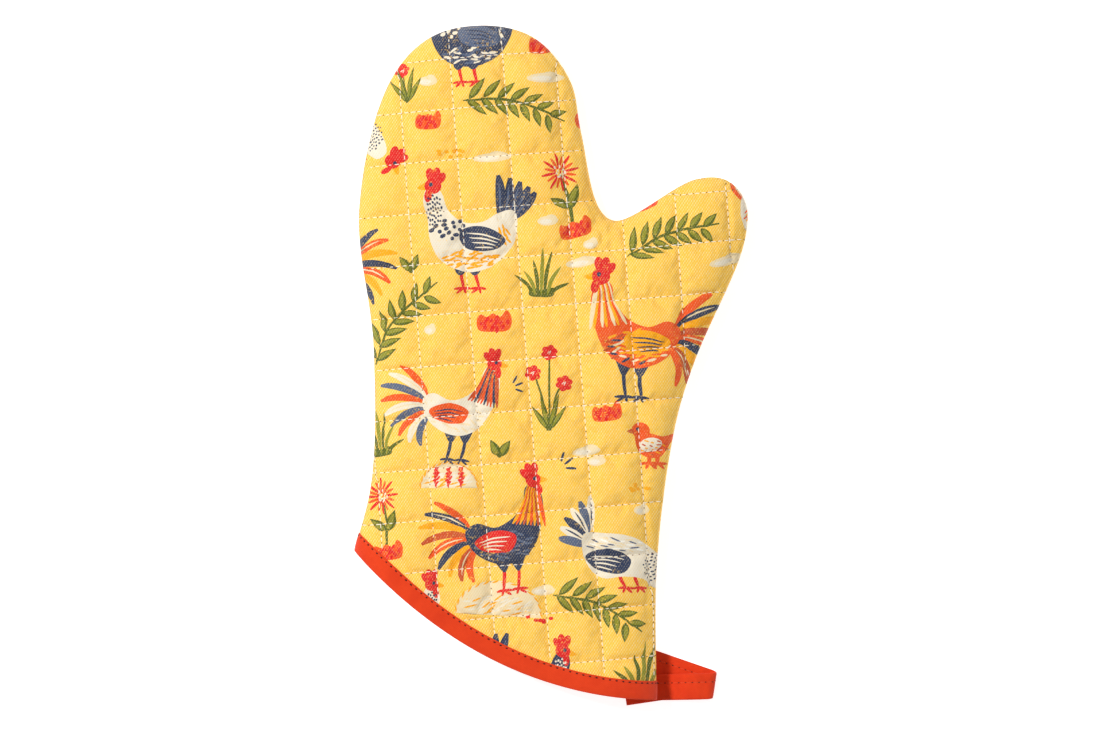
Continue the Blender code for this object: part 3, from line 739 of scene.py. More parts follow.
def run_cloth(obj, pinned, growth, pressure, frames):
    """Steps Blender's cloth and returns the settled vertex positions."""
    group = obj.vertex_groups.new(name="pinned")
    group.add(np.flatnonzero(pinned).tolist(), 1.0, "REPLACE")
    cloth = obj.modifiers.new("cloth", "CLOTH")
    settings = cloth.settings
    settings.quality = 6
    settings.mass = 0.2
    settings.tension_stiffness = 18.0
    settings.compression_stiffness = 18.0
    settings.shear_stiffness = 7.0
    settings.bending_stiffness = 0.35
    settings.air_damping = 4.0
    settings.vertex_group_mass = "pinned"
    settings.shrink_min = -growth
    settings.use_pressure = True
    settings.uniform_pressure_force = pressure
    settings.effector_weights.gravity = 0.0
    cloth.collision_settings.use_collision = False
    cloth.point_cache.frame_start = 1
    cloth.point_cache.frame_end = frames
    for frame_number in range(1, frames + 1):
        bpy.context.scene.frame_set(frame_number)
    graph = bpy.context.evaluated_depsgraph_get()
    settled = obj.evaluated_get(graph).to_mesh()
    result = np.empty(len(settled.vertices) * 3)
    settled.vertices.foreach_get("co", result)
    bpy.context.scene.frame_set(1)
    bpy.data.objects.remove(obj, do_unlink=True)
    return result.reshape(-1, 3)


def quilting_field(side):
    """How far the quilted cloth stands off the smooth surface at each point of the quilting grid."""
    points, usable = simulation_grid()
    smooth, normals = np.zeros((len(points), 3)), np.zeros((len(points), 3))
    flat = usable.ravel()
    smooth[flat], normals[flat] = surface(points[flat], side, 0.0)
    cells = np.stack(np.unravel_index(np.arange(len(points)), GRID_SIZE), axis=1) + GRID_LOW
    wave = np.abs(np.sin(math.pi * cells / QUILT_CELLS)).prod(axis=1)
    start = -QUILT_DEPTH + (QUILT_DEPTH + 0.9 * MM) * wave ** 0.6
    seeded = np.random.default_rng(11 + side)
    start += seeded.normal(0.0, 0.12 * MM, len(points)) * wave
    field = normals * start[:, None]
    scale = 20.0
    obj, used, rim = cloth_mesh((smooth + field) * scale, usable)
    on_line = (cells[used] % QUILT_CELLS == 0).any(axis=1)
    settled = run_cloth(obj, on_line | rim, QUILTING_TAKE_UP, 0.9 * side, 22) / scale
    field[used] = settled - smooth[used]
    out = (field * normals).sum(axis=1)
    over = np.clip(out, -QUILT_DEPTH * 1.3, PUFF_LIMIT) - out
    field += normals * over[:, None]
    if side > 0:
        away = distance_to(points, THUMB_CREASE)
        fade = np.clip(1.0 - np.linalg.norm(points - THUMB_CREASE[0], axis=1) / CREASE_LENGTH, 0.0, 1.0)
        field -= normals * (CREASE_DEPTH * np.exp(-(away / CREASE_WIDTH) ** 2) * fade)[:, None]
    field[~flat] = 0.0
    return field.reshape(*GRID_SIZE, 3)


def cubic_weights(t):
    """Catmull-Rom weights of four neighbours."""
    return np.stack([-0.5 * t + t ** 2 - 0.5 * t ** 3, 1 - 2.5 * t ** 2 + 1.5 * t ** 3,
                     0.5 * t + 2 * t ** 2 - 1.5 * t ** 3, -0.5 * t ** 2 + 0.5 * t ** 3], axis=1)


def sample_field(field, points):
    cells = quilt_coordinates(points) - GRID_LOW
    base = np.floor(cells).astype(int)
    part = cells - base
    wu, wv = cubic_weights(part[:, 0]), cubic_weights(part[:, 1])
    total = np.zeros((len(points), 3))
    for a in range(4):
        for b in range(4):
            i = np.clip(base[:, 0] + a - 1, 0, GRID_SIZE[0] - 1)
            j = np.clip(base[:, 1] + b - 1, 0, GRID_SIZE[1] - 1)
            total += field[i, j] * (wu[:, a] * wv[:, b])[:, None]
    return total


def quilted(points, side, field, gain=1.0, offset=0.0, on_seam=None, seam_normals=None):
    """Points of a quilted layer and the normals of the smooth surface below it."""
    world, normals = surface(points, side, offset, on_seam, seam_normals)
    return world + sample_field(field, points) * gain, normals


def bent_to_the_seam(points):
    """The outermost upright line of stitches bends near the cuff and stays just inside the seam."""
    right = SEAM[-EDGE_LINE_POINTS:][::-1]
    edge = np.interp(points[:, 1], right[:, 1], right[:, 0]) - EDGE_LINE_INSET
    past = points[:, 0] - edge
    moved = (points[:, 1] < right[-1, 1]) & (past > 0.0) & (past < EDGE_LINE_REACH)
    points[moved, 0] = edge[moved]
    return points


def stitch_centres():
    """Flat middle points and directions of the quilting stitches."""
    edge = np.vstack([PLAN, PLAN[:1]])
    runs = []
    for axis in (0, 1):
        pitch = STITCH_PITCH / QUILT_PITCH[1 - axis] * QUILT_CELLS
        first = math.ceil(GRID_LOW[axis] / QUILT_CELLS) * QUILT_CELLS
        for line in range(first, GRID_LOW[axis] + GRID_SIZE[axis], QUILT_CELLS):
            steps = np.arange(GRID_LOW[1 - axis], GRID_LOW[1 - axis] + GRID_SIZE[1 - axis], pitch)
            cells = np.empty((len(steps), 2))
            cells[:, axis] = line
            cells[:, 1 - axis] = steps + 0.3
            points = quilt_point(cells)
            if axis == 0:
                points = bent_to_the_seam(points)
            keep = inside(points, PLAN) & (distance_to(points, edge) > 0.45 * MM)
            keep &= distance_to(points, CUFF) > BINDING_WIDTH + 0.6 * MM
            points = points[keep]
            if len(points) > 2:
                runs.append((points, unit(np.gradient(points, axis=0))))
    return np.vstack([r[0] for r in runs]), np.vstack([r[1] for r in runs])


# ---------------------------------------------------------------- mesh helpers

def add_piece(name, points, faces, material, body="mitt", replaces=(), smooth=True):
    mesh = bpy.data.meshes.new(name)
    mesh.from_pydata(np.asarray(points).tolist(), [], [list(map(int, face)) for face in faces])
    mesh.validate()
    if smooth:
        mesh.shade_smooth()
    mesh.materials.append(material)
    obj = bpy.data.objects.new(name, mesh)
    bpy.context.scene.collection.objects.link(obj)
    if body:
        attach(obj, body)
    if replaces:
        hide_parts(*replaces)
    return obj


def capsule():
    """A stitch lying along x from -0.5 to 0.5: its points, its faces and the share of its bow at each."""
    rings, sides = 7, 8
    points = []
    for k in range(rings):
        t = k / (rings - 1) * 2 - 1
        radius = math.sqrt(max(1 - abs(t) ** 5, 0.04))
        for n in range(sides):
            angle = 2 * math.pi * n / sides
            points.append((t / 2, radius * math.cos(angle), radius * math.sin(angle)))
    faces = []
    for k in range(rings - 1):
        for n in range(sides):
            m = (n + 1) % sides
            faces.append([k * sides + n, k * sides + m, (k + 1) * sides + m, (k + 1) * sides + n])
    faces.append(list(range(sides))[::-1])
    faces.append([(rings - 1) * sides + n for n in range(sides)])
    return np.array(points), faces


def stitches(name, centres, along, up, material, body="mitt", radius=STITCH_RADIUS,
             length=STITCH_LENGTH):
    """Separate thread stitches, each bowed over the cloth with its ends sunk into it."""
    shape, shape_faces = capsule()
    along = unit(along)
    across = unit(np.cross(up, along))
    up = np.cross(along, across)
    bow = (1.0 - (2 * shape[:, 0]) ** 2) * 0.9 - 0.45
    height = shape[:, 2] * radius * 0.8 + bow * radius
    points = (centres[:, None, :] + along[:, None, :] * (shape[:, 0] * length)[None, :, None]
              + across[:, None, :] * (shape[:, 1] * radius)[None, :, None]
              + up[:, None, :] * height[None, :, None]).reshape(-1, 3)
    faces = [[k * len(shape) + i for i in face] for k in range(len(centres)) for face in shape_faces]
    return add_piece(name, points, faces, material, body)


def flat_mesh(outline, inner, polygons=()):
    """Triangles of the plan in millimetres; returns points, triangles and the last polygon over each."""
    points = list(map(tuple, outline)) + [tuple(p) for polygon in polygons for p in polygon]
    faces = [list(range(len(outline)))]
    start = len(outline)
    for polygon in polygons:
        faces.append(list(range(start, start + len(polygon))))
        start += len(polygon)
    points += list(map(tuple, inner))
    result = delaunay_2d_cdt(points, [], faces, 1, 1e-4)
    flat = np.array([tuple(v) for v in result[0]])
    triangles, top = [], []
    for face, sources in zip(result[2], result[5]):
        if 0 in sources:
            triangles.append(tuple(face))
            top.append(max(sources))
    triangles = np.array(triangles)
    used, renumbered = np.unique(triangles, return_inverse=True)
    return flat[used], renumbered.reshape(-1, 3), np.array(top)


def plan_outline(step):
    """The seam from the left binding edge to the right one, and the cuff edge back, as flat points."""
    seam_count = int((SEAM_LENGTH - 2 * PANEL_EDGE) / step)
    seam = points_at(SEAM, np.linspace(PANEL_EDGE, SEAM_LENGTH - PANEL_EDGE, seam_count))
    cuff_count = int(CUFF_LENGTH / step)
    distances = np.linspace(0.0, CUFF_LENGTH, cuff_count)[1:-1]
    cuff = cuff_points(distances, np.full(len(distances), PANEL_EDGE))
    return seam, np.vstack([seam, cuff[::-1]])[::-1]


def plan_grid(step, outline, margin):
    low, high = outline.min(axis=0), outline.max(axis=0)
    x, y = np.meshgrid(np.arange(low[0], high[0], step), np.arange(low[1], high[1], step * 0.87))
    x = x + (np.arange(x.shape[0]) % 2)[:, None] * step / 2
    points = np.c_[x.ravel(), y.ravel()]
    points = points[inside(points, outline)]
    return points[distance_to(points, np.vstack([outline, outline[:1]])) > margin]


def rim_edges(triangles):
    directed = {(int(t[k]), int(t[(k + 1) % 3])) for t in triangles for k in range(3)}
    return [edge for edge in directed if (edge[1], edge[0]) not in directed]


# ---------------------------------------------------------------- materials

def linear(colour):
    """Linear colour from one given as it looks, 0 to 255."""
    values = [c / 255 for c in colour]
    return [v / 12.92 if v <= 0.04045 else ((v + 0.055) / 1.055) ** 2.4 for v in values]


class Nodes:
    """Short forms for building one material's nodes."""

    def __init__(self, name, roughness, sheen):
        self.material = bpy.data.materials.new(name)
        self.material.use_nodes = True
        self.tree = self.material.node_tree
        self.shader = self.tree.nodes["Principled BSDF"]
        self.shader.inputs["Roughness"].default_value = roughness
        self.shader.inputs["Sheen Weight"].default_value = sheen
        self.shader.inputs["Sheen Roughness"].default_value = 0.5
        self.shader.inputs["Specular IOR Level"].default_value = 0.2
        self.place = self.add("ShaderNodeTexCoord").outputs["Object"]

    def add(self, kind, **values):
        node = self.tree.nodes.new(kind)
        for key, value in values.items():
            setattr(node, key, value)
        return node

    def link(self, source, target):
        self.tree.links.new(source, target)

    def mapped(self, rotation=(0.0, 0.0, 0.0), scale=(1.0, 1.0, 1.0)):
        node = self.add("ShaderNodeMapping")
        self.link(self.place, node.inputs["Vector"])
        node.inputs["Rotation"].default_value = rotation
        node.inputs["Scale"].default_value = scale
        return node.outputs["Vector"]

    def noise(self, scale, detail=2.0, vector=None):
        node = self.add("ShaderNodeTexNoise")
        self.link(vector or self.place, node.inputs["Vector"])
        node.inputs["Scale"].default_value = scale
        node.inputs["Detail"].default_value = detail
        return node.outputs["Fac"]

    def wave(self, vector, scale, distortion=0.0):
        node = self.add("ShaderNodeTexWave", wave_type="BANDS", bands_direction="X")
        self.link(vector, node.inputs["Vector"])
        node.inputs["Scale"].default_value = scale
        node.inputs["Distortion"].default_value = distortion
        node.inputs["Detail Scale"].default_value = 2.0
        return node.outputs["Fac"]

    def ramp(self, value, low, high, low_colour=(0, 0, 0, 1), high_colour=(1, 1, 1, 1)):
        node = self.add("ShaderNodeValToRGB")
        node.color_ramp.elements[0].position = low
        node.color_ramp.elements[1].position = high
        node.color_ramp.elements[0].color = low_colour
        node.color_ramp.elements[1].color = high_colour
        self.link(value, node.inputs["Fac"])
        return node.outputs["Color"]

    def math(self, operation, a, b):
        node = self.add("ShaderNodeMath", operation=operation)
        for value, socket in ((a, node.inputs[0]), (b, node.inputs[1])):
            if isinstance(value, (int, float)):
                socket.default_value = value
            else:
                self.link(value, socket)
        return node.outputs["Value"]

    def mix(self, factor, a, b, blend="MIX"):
        node = self.add("ShaderNodeMix", data_type="RGBA", blend_type=blend)
        for value, socket in ((factor, node.inputs[0]), (a, node.inputs[6]), (b, node.inputs[7])):
            if isinstance(value, (int, float)):
                socket.default_value = value
            elif isinstance(value, (tuple, list)):
                socket.default_value = (*value[:3], 1.0)
            else:
                self.link(value, socket)
        return node.outputs[2]

    def bump(self, height, distance, strength=1.0, below=None):
        node = self.add("ShaderNodeBump")
        node.inputs["Distance"].default_value = distance
        node.inputs["Strength"].default_value = strength
        self.link(height, node.inputs["Height"])
        if below is not None:
            self.link(below, node.inputs["Normal"])
        return node.outputs["Normal"]

    def finish(self, colour, normal):
        self.link(colour, self.shader.inputs["Base Color"])
        self.link(normal, self.shader.inputs["Normal"])
        return self.material


TWILL_SCALE = 285.0
TWILL_LEAN = math.radians(33)


def printed_cotton():
    """Twill with ink from the faces' colours: dry-brush specks, painted highlight flecks on the raised yarns,
    painted shade in the twill grooves and a crossed weave.
    """
    n = Nodes("printed_cotton", 0.88, 0.04)
    ink = n.add("ShaderNodeVertexColor", layer_name="ink")
    ground = linear(GROUND)
    cover = ink.outputs["Alpha"]
    falling = n.wave(n.mapped(rotation=(0.0, 0.0, TWILL_LEAN)), TWILL_SCALE, 0.5)
    rising = n.wave(n.mapped(rotation=(0.0, 0.0, -TWILL_LEAN)), TWILL_SCALE, 0.5)
    twill = n.math("ADD", n.math("MULTIPLY", falling, 0.65), n.math("MULTIPLY", rising, 0.35))
    dry = n.ramp(n.noise(900.0, 3.0), 0.58, 0.66)
    dry = n.math("MULTIPLY", dry, n.ramp(n.noise(70.0, 2.0), 0.42, 0.66))
    dry = n.math("MULTIPLY", n.math("MULTIPLY", dry, cover), 0.7)
    colour = n.mix(dry, ink.outputs["Color"], ground)
    show = n.math("SUBTRACT", 1.0, n.math("MULTIPLY", cover, 0.6))
    # Pale flecks on the raised twill yarns: painted highlight
    raised = n.math("MULTIPLY", n.ramp(twill, 0.5, 0.95), n.ramp(n.noise(1000.0, 2.0), 0.36, 0.60))
    highlight_share = n.math("MULTIPLY", raised, n.math("MULTIPLY", show, 0.62))
    colour = n.mix(highlight_share, colour, linear(TWILL_HIGHLIGHT))
    tint = n.ramp(n.noise(26.0, 3.0), 0.3, 0.7, (0.98, 0.965, 0.94, 1), (1, 1, 1, 1))
    colour = n.mix(1.0, colour, tint, "MULTIPLY")
    # Darker warm tone in the low parts of the twill: painted shade in the weave grooves
    groove = n.ramp(twill, 0.08, 0.5, (0.95, 0.83, 0.42, 1), (1, 1, 1, 1))
    colour = n.mix(show, colour, groove, "MULTIPLY")
    weave = n.math("ADD", twill, n.math("MULTIPLY", n.noise(1300.0, 3.0), 0.8))
    return n.finish(colour, n.bump(weave, 0.00016, 0.9))


def plain_weave(name, colour, dark, threads, roughness=0.88, fuzz=0.06, depth=0.00012):
    """Solid-dyed cotton: crossing yarns with painted shade between them, slightly worn raised parts and fine
    fuzz.
    """
    n = Nodes(name, roughness, fuzz)
    warp = n.wave(n.mapped(rotation=(0.0, 0.0, math.radians(45))), threads, 0.5)
    weft = n.wave(n.mapped(rotation=(0.0, 0.0, math.radians(-45))), threads, 0.5)
    upright = n.wave(n.mapped(rotation=(math.radians(90), math.radians(45), 0.0)), threads, 0.5)
    weave = n.math("ADD", n.math("MULTIPLY", warp, weft), n.math("MULTIPLY", upright, 0.3))
    weave = n.math("ADD", weave, n.math("MULTIPLY", n.noise(1600.0, 3.0), 0.7))
    worn = n.ramp(n.noise(120.0, 4.0), 0.4, 0.72)
    base = n.mix(n.math("MULTIPLY", worn, 0.5), linear(colour), linear(dark))
    lint = n.ramp(n.noise(2100.0, 2.0), 0.66, 0.8)
    lighter = [min(1.0, c * 1.25 + 0.06) for c in linear(colour)]
    base = n.mix(n.math("MULTIPLY", lint, 0.4), base, lighter)
    # Darker where the weave is low: painted shade between the yarns
    base = n.mix(1.0, base, n.ramp(weave, 0.25, 0.8, (0.88, 0.86, 0.84, 1), (1, 1, 1, 1)), "MULTIPLY")
    return n.finish(base, n.bump(weave, depth, 0.8))


def thread_material(name, shade, lit):
    n = Nodes(name, 0.6, 0.05)
    twist = n.wave(n.mapped(rotation=(0.0, 0.0, math.radians(20))), 620.0, 0.2)
    colour = n.mix(twist, linear(shade), linear(lit))
    return n.finish(colour, n.bump(twist, 0.00006, 0.6))


def wadding_material():
    n = Nodes("wadding", 0.95, 0.5)
    fluff = n.noise(700.0, 5.0)
    colour = n.mix(fluff, linear((226, 222, 212)), linear((250, 248, 242)))
    return n.finish(colour, n.bump(fluff, 0.0006, 0.8))


# ---------------------------------------------------------------- panels

def paint_ink(mesh, triangles_top, inks):
    """Writes each face's ink, or the painted shade of a needle hole, to its corners; alpha says how much of
    it is ink.
    """
    layer = mesh.color_attributes.new("ink", "FLOAT_COLOR", "CORNER")
    table = np.array([[*linear(ink), cover] for ink, cover in inks])
    colours = np.repeat(table[triangles_top], 3, axis=0)
    rest = len(layer.data) - len(colours)
    colours = np.vstack([colours, np.repeat(table[:1], rest, axis=0)])
    layer.data.foreach_set("color", colours.ravel())


def turned_in_edge(flat, triangles, side):
    """The seam allowance: the rim folds inward between the two panels."""
    edges = rim_edges(triangles)
    on_seam = distance_to(flat, SEAM) < 0.03 * MM
    outward = np.zeros((len(flat), 2))
    for a, b in edges:
        step = flat[b] - flat[a]
        outward[[a, b]] += (step[1], -step[0])
    rim = [(a, b) for a, b in edges if on_seam[a] and on_seam[b]]
    folded = sorted({v for edge in rim for v in edge})
    number = {v: len(flat) + k for k, v in enumerate(folded)}
    points = flat[folded] - unit(outward[folded]) * SEAM_TURN_IN
    heights = SEAM_HEIGHT + side * 0.1 * MM + lift(points)
    faces = [[b, a, number[a], number[b]] for a, b in rim]
    return np.c_[points, heights], faces


def stitch_ripples(points, centres, along):
    """Small dips where each stitch pulls the cloth and rises beside it."""
    low = points.min(axis=0)
    cell = 4.0 * MM
    width = int((points[:, 0].max() - low[0]) / cell) + 3
    bins = {}
    for k, key in enumerate(((centres - low) / cell).astype(int) @ (1, width)):
        bins.setdefault(int(key), []).append(k)
    keys = ((points - low) / cell).astype(int) @ (1, width)
    order = np.argsort(keys, kind="stable")
    change = np.flatnonzero(np.diff(keys[order])) + 1
    ripple = np.zeros(len(points))
    for group in np.split(order, change):
        near = [k for dx in (-1, 0, 1) for dy in (-1, 0, 1)
                for k in bins.get(int(keys[group[0]]) + dx + dy * width, ())]
        if near:
            offset = points[group][:, None, :] - centres[near][None, :, :]
            run = (offset * along[near]).sum(2)
            away = np.sqrt(np.maximum((offset ** 2).sum(2) - run ** 2, 0.0))
            pull = np.exp(-(away / (0.9 * MM)) ** 2) * np.exp(-(run / (1.1 * MM)) ** 2)
            ripple[group] = pull.max(axis=1)
    return ripple


def printed_panel(name, side, field, material, node):
    """The outer cloth: one sheet cut along every printed shape, quilted, its rim turned in at the seam."""
    centres, along = stitch_centres()
    _, outline = plan_outline(1.0 * MM)
    shapes = farm_print()
    if side < 0:
        shapes = [(counterclockwise(polygon * (-1.0, 1.0) + (-12.0, -9.0)), ink) for polygon, ink in shapes]
    # Dark dots at the needle holes between stitches: painted shade, laid in among the inks with no ink cover
    holes = centres + along * STITCH_PITCH / 2
    hole_shapes = [ellipse(x, y, NEEDLE_HOLE / MM, NEEDLE_HOLE / MM * 0.8, 0, 6) for x, y in holes / MM]
    margin = 12.0
    low, high = outline.min(axis=0) / MM - margin, outline.max(axis=0) / MM + margin
    visible = [(p, ink) for p, ink in shapes if (p.max(axis=0) > low).all() and (p.min(axis=0) < high).all()]
    polygons = [p for p, _ in visible] + hole_shapes
    inks = [(GROUND, 0.0)] + [(ink, 1.0) for _, ink in visible] + [(HOLE_SHADE, 0.0)] * len(hole_shapes)
    inner = plan_grid(CLOTH_STEP, outline, 0.5 * MM)
    flat, triangles, top = flat_mesh(outline / MM, inner / MM, polygons)
    flat = flat * MM
    points, normals = quilted(flat, side, field)
    ripple = stitch_ripples(flat, centres, along)
    points += normals * ((0.22 - 0.5 * ripple) * MM * (ripple > 0.05))[:, None]
    if side < 0:
        points[:, 2] = np.maximum(points[:, 2], 0.05 * MM)
    rim_points, rim_faces = turned_in_edge(flat, triangles, side)
    faces = triangles.tolist() + rim_faces
    if side < 0:
        faces = [face[::-1] for face in faces]
    obj = add_piece(name, np.vstack([points, rim_points]), faces, material, "mitt", [node])
    paint_ink(obj.data, top, inks)
    return centres, along


def inner_layers(label, side, field, wadding, lining):
    """The closed wadding and the lining sheet of one side, quilted with the same field."""
    seam, outline = plan_outline(4.0 * MM)
    inner = plan_grid(COARSE_STEP, outline, 1.6 * MM)
    flat, triangles, _ = flat_mesh(outline / MM, inner / MM)
    flat = flat * MM
    on_seam = np.flatnonzero(distance_to(flat, SEAM) < 0.03 * MM)
    order = np.argsort(np.linalg.norm(flat[on_seam][:, None] - seam[None], axis=2), axis=1)[:, 0]
    seam_normals = outward_normals(seam)[order]
    rim = (on_seam, seam_normals)
    outer, _ = quilted(flat, side, field, 1.0, -0.9 * MM, *rim)
    under, _ = quilted(flat, side, field, 0.4, -3.9 * MM, *rim)
    if side < 0:
        outer[:, 2] = np.maximum(outer[:, 2], 0.5 * MM)
    count = len(flat)
    faces = triangles.tolist() + (triangles[:, ::-1] + count).tolist()
    faces += [[b, a, a + count, b + count] for a, b in rim_edges(triangles)]
    if side < 0:
        faces = [face[::-1] for face in faces]
    pad = add_piece(f"{label}_wadding", np.vstack([outer, under]), faces, wadding, "mitt",
                    [f"{label}_batting"])
    inside_face, _ = quilted(flat, side, field, 0.35, -4.5 * MM, *rim)
    faces = triangles.tolist() if side < 0 else triangles[:, ::-1].tolist()
    sheet = add_piece(f"{label}_lining_cloth", inside_face, faces, lining, "mitt",
                      [f"{label}_lining"])


def quilting_stitches(name, side, field, centres, along, material):
    nudge = 0.4 * MM
    here, up = quilted(centres, side, field)
    ahead, _ = quilted(centres + along * nudge, side, field)
    drop = 0.10 * MM if side > 0 else 0.0
    here = here - up * drop
    if side < 0:
        here[:, 2] = np.maximum(here[:, 2], STITCH_RADIUS + 0.1 * MM)
    return stitches(name, here, ahead - here - up * drop, up, material)


# ---------------------------------------------------------------- binding

def ring(distances, inward, offset):
    """Points right round the mouth at one height and offset: front left to right, then back."""
    flat = cuff_points(distances, np.full(len(distances), inward))
    if offset > 0.0:
        corner = np.minimum(distances, CUFF_LENGTH - distances) / CORNER_FLATTENED
        offset = offset * (0.35 + 0.65 * np.clip(corner, 0.0, 1.0))[:, None]
    ends = np.array([0, len(distances) - 1])
    normals = np.stack([[-LEFT_SIDE[1], LEFT_SIDE[0]], [RIGHT_SIDE[1], -RIGHT_SIDE[0]]])
    front, front_up = surface(flat, 1, offset, ends, normals)
    back, back_up = surface(flat, -1, offset, ends, normals)
    middle = (front[ends] + back[ends]) / 2
    front[ends] = middle
    points = np.vstack([front, back[-2:0:-1]])
    return points, np.vstack([front_up, back_up[-2:0:-1]])


def binding_profile():
    """The folded tape's section: height up the mitt and offset from the outer cloth."""
    outer = BINDING_CLEARANCE + BINDING_THICKNESS
    inner = -WALL - BINDING_INNER
    return [
        (0.0, outer - 0.75 * MM), (0.2 * MM, outer - 0.25 * MM), (0.8 * MM, outer),
        (3.0 * MM, outer + 0.12 * MM), (5.5 * MM, outer + 0.1 * MM),
        (7.2 * MM, outer - 0.02 * MM), (7.8 * MM, outer - 0.22 * MM),
        (8.3 * MM, outer - 0.24 * MM), (8.8 * MM, outer - 0.05 * MM), (9.15 * MM, outer - 0.12 * MM),
        (BINDING_WIDTH, outer - 0.45 * MM), (9.1 * MM, 0.1 * MM), (8.6 * MM, 0.05 * MM),
        (1.2 * MM, 0.3 * MM), (1.2 * MM, inner + 1.1 * MM), (BINDING_WIDTH, inner + 1.0 * MM),
        (BINDING_WIDTH + 0.1 * MM, inner + 0.4 * MM), (8.8 * MM, inner), (4.5 * MM, inner - 0.1 * MM),
        (0.8 * MM, inner), (0.15 * MM, inner + 0.3 * MM), (0.0, inner + 0.9 * MM),
    ]


def ring_distances(count):
    t = np.linspace(0.0, 1.0, count)
    return CUFF_LENGTH * (0.5 - 0.5 * np.cos(math.pi * t)) * 0.35 + CUFF_LENGTH * t * 0.65


def binding(material):
    distances = ring_distances(120)
    rows = []
    for height, offset in binding_profile():
        points, normals = ring(distances, height, offset)
        travel = np.arange(len(points))
        pucker = np.sin(travel * 2.1) * 0.05 * MM + np.sin(travel * 0.37 + height * 300) * 0.12 * MM
        outside = 1.0 if offset > 0.5 * MM and height > 0.5 * MM else 0.0
        rows.append(points + normals * (pucker * outside)[:, None])
    size, count = len(rows), len(rows[0])
    points = np.stack(rows, axis=1).reshape(-1, 3)
    points[:, 2] = np.maximum(points[:, 2], 0.02 * MM)
    faces = []
    for i in range(count):
        j = (i + 1) % count
        for k in range(size):
            m = (k + 1) % size
            faces.append([i * size + k, i * size + m, j * size + m, j * size + k])
    obj = add_piece("cuff_binding_tape", points, faces, material, "mitt", ["cuff_binding"])
    return obj


def binding_stitches(thread, dark):
    """A thread of the tape's own colour: its stitches hardly show; dark capsules between them are painted
    shade in the needle holes.
    """
    offset = BINDING_CLEARANCE + BINDING_THICKNESS - 0.16 * MM
    dense = np.linspace(0.0, CUFF_LENGTH, 400)
    points, normals = ring(dense, TOPSTITCH_LINE, offset)
    points, normals = np.vstack([points, points[:1]]), np.vstack([normals, normals[:1]])
    lengths = arc_lengths(points)

    def row(name, shift, material, slot, radius, length):
        places = np.arange(1.0 * MM + shift, lengths[-1], STITCH_PITCH)
        here = points_at(points, places)
        up = unit(points_at_lengths(normals, lengths, places))
        ahead = points_at(points, np.minimum(places + 0.3 * MM, lengths[-1]))
        return stitches(name, here, ahead - here, up, material, "mitt", radius, length)

    sewn = row("binding_topstitches", 0.0, thread, "topstitch_thread", 0.2 * MM, 2.3 * MM)
    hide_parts("binding_topstitch")
    # Dark capsules between the stitches: painted shade in the needle holes
    row("binding_painted_hole_shade", STITCH_PITCH / 2, dark, "binding_cotton", 0.32 * MM, 1.1 * MM)


# ---------------------------------------------------------------- hanging loop

FOLD_NORMAL = unit(np.array([1.0 + math.cos(FAR_ANGLE), -math.sin(FAR_ANGLE)]))
NEAR_LINE = unit(NEAR_FOLD - NEAR_START)
TAIL_LINE = unit(NEAR_START - NEAR_TAIL_START)
TAIL_LENGTH = float(np.linalg.norm(NEAR_START - NEAR_TAIL_START))
STRAND_LENGTH = 59.0 * MM
FAR_TAIL_LENGTH = 15.0 * MM


def near_height(x):
    """Middle height of the near strand: it climbs from its tail to the top of the fold."""
    t = min(max((x - HINGE_X) / (RAMP_END_X - HINGE_X), 0.0), 1.0)
    return NEAR_MIDDLE + (LOOP_TOP - NEAR_MIDDLE) * t * t * (3 - 2 * t)


def tape_point(along, across, offset):
    """A point of the unfolded tape; along is 0 where the near strand leaves the mitt."""
    wave = 0.16 * MM * math.sin(along * 420 + across * 90) + 0.1 * MM * math.sin(along * 1100)
    if along < 0.0:
        side = np.array([-TAIL_LINE[1], TAIL_LINE[0]])
        flat = NEAR_START + TAIL_LINE * along + side * across
        return np.array([flat[0], flat[1], NEAR_MIDDLE + offset + wave * 0.5])
    side = np.array([-NEAR_LINE[1], NEAR_LINE[0]])
    blend = min(along / (6 * MM), 1.0)
    side = unit(side * blend + np.array([-TAIL_LINE[1], TAIL_LINE[0]]) * (1 - blend))
    flat = NEAR_START + NEAR_LINE * along + side * across
    q = float((flat - NEAR_FOLD) @ FOLD_NORMAL)
    if q <= 0.0:
        return np.array([flat[0], flat[1], near_height(flat[0]) + offset + wave])
    base = flat - FOLD_NORMAL * q
    turn = min(q / FOLD_RADIUS, math.pi)
    beyond = max(q - math.pi * FOLD_RADIUS, 0.0)
    reach = (FOLD_RADIUS + offset) * math.sin(turn) - beyond
    xy = base + FOLD_NORMAL * reach
    height = LOOP_TOP - FOLD_RADIUS + (FOLD_RADIUS + offset) * math.cos(turn)
    return np.array([xy[0], xy[1], max(height, 0.02 * MM)])


def tape_section():
    """Rounded flat section of the folded tape, with a shallow groove under the edge stitching."""
    half, thick = TAPE_WIDTH / 2, TAPE_THICKNESS / 2
    line = half - LOOP_STITCH_INSET
    top = [(-half * 0.97, 0.75), (-half * 0.8, 1.0), (-half * 0.4, 1.05), (-1.2 * MM, 1.05),
           (line - 0.8 * MM, 1.0), (line - 0.25 * MM, 0.72), (line + 0.25 * MM, 0.72), (line + 0.8 * MM, 1.0),
           (half * 0.8, 1.04), (half * 0.97, 0.72)]
    upper = [(x, y * thick) for x, y in top]
    lower = [(x, -y * thick) for x, y in reversed(top)]
    return [(-half, 0.0)] + upper + [(half, 0.0)] + lower


def tape_length():
    return STRAND_LENGTH + FAR_TAIL_LENGTH


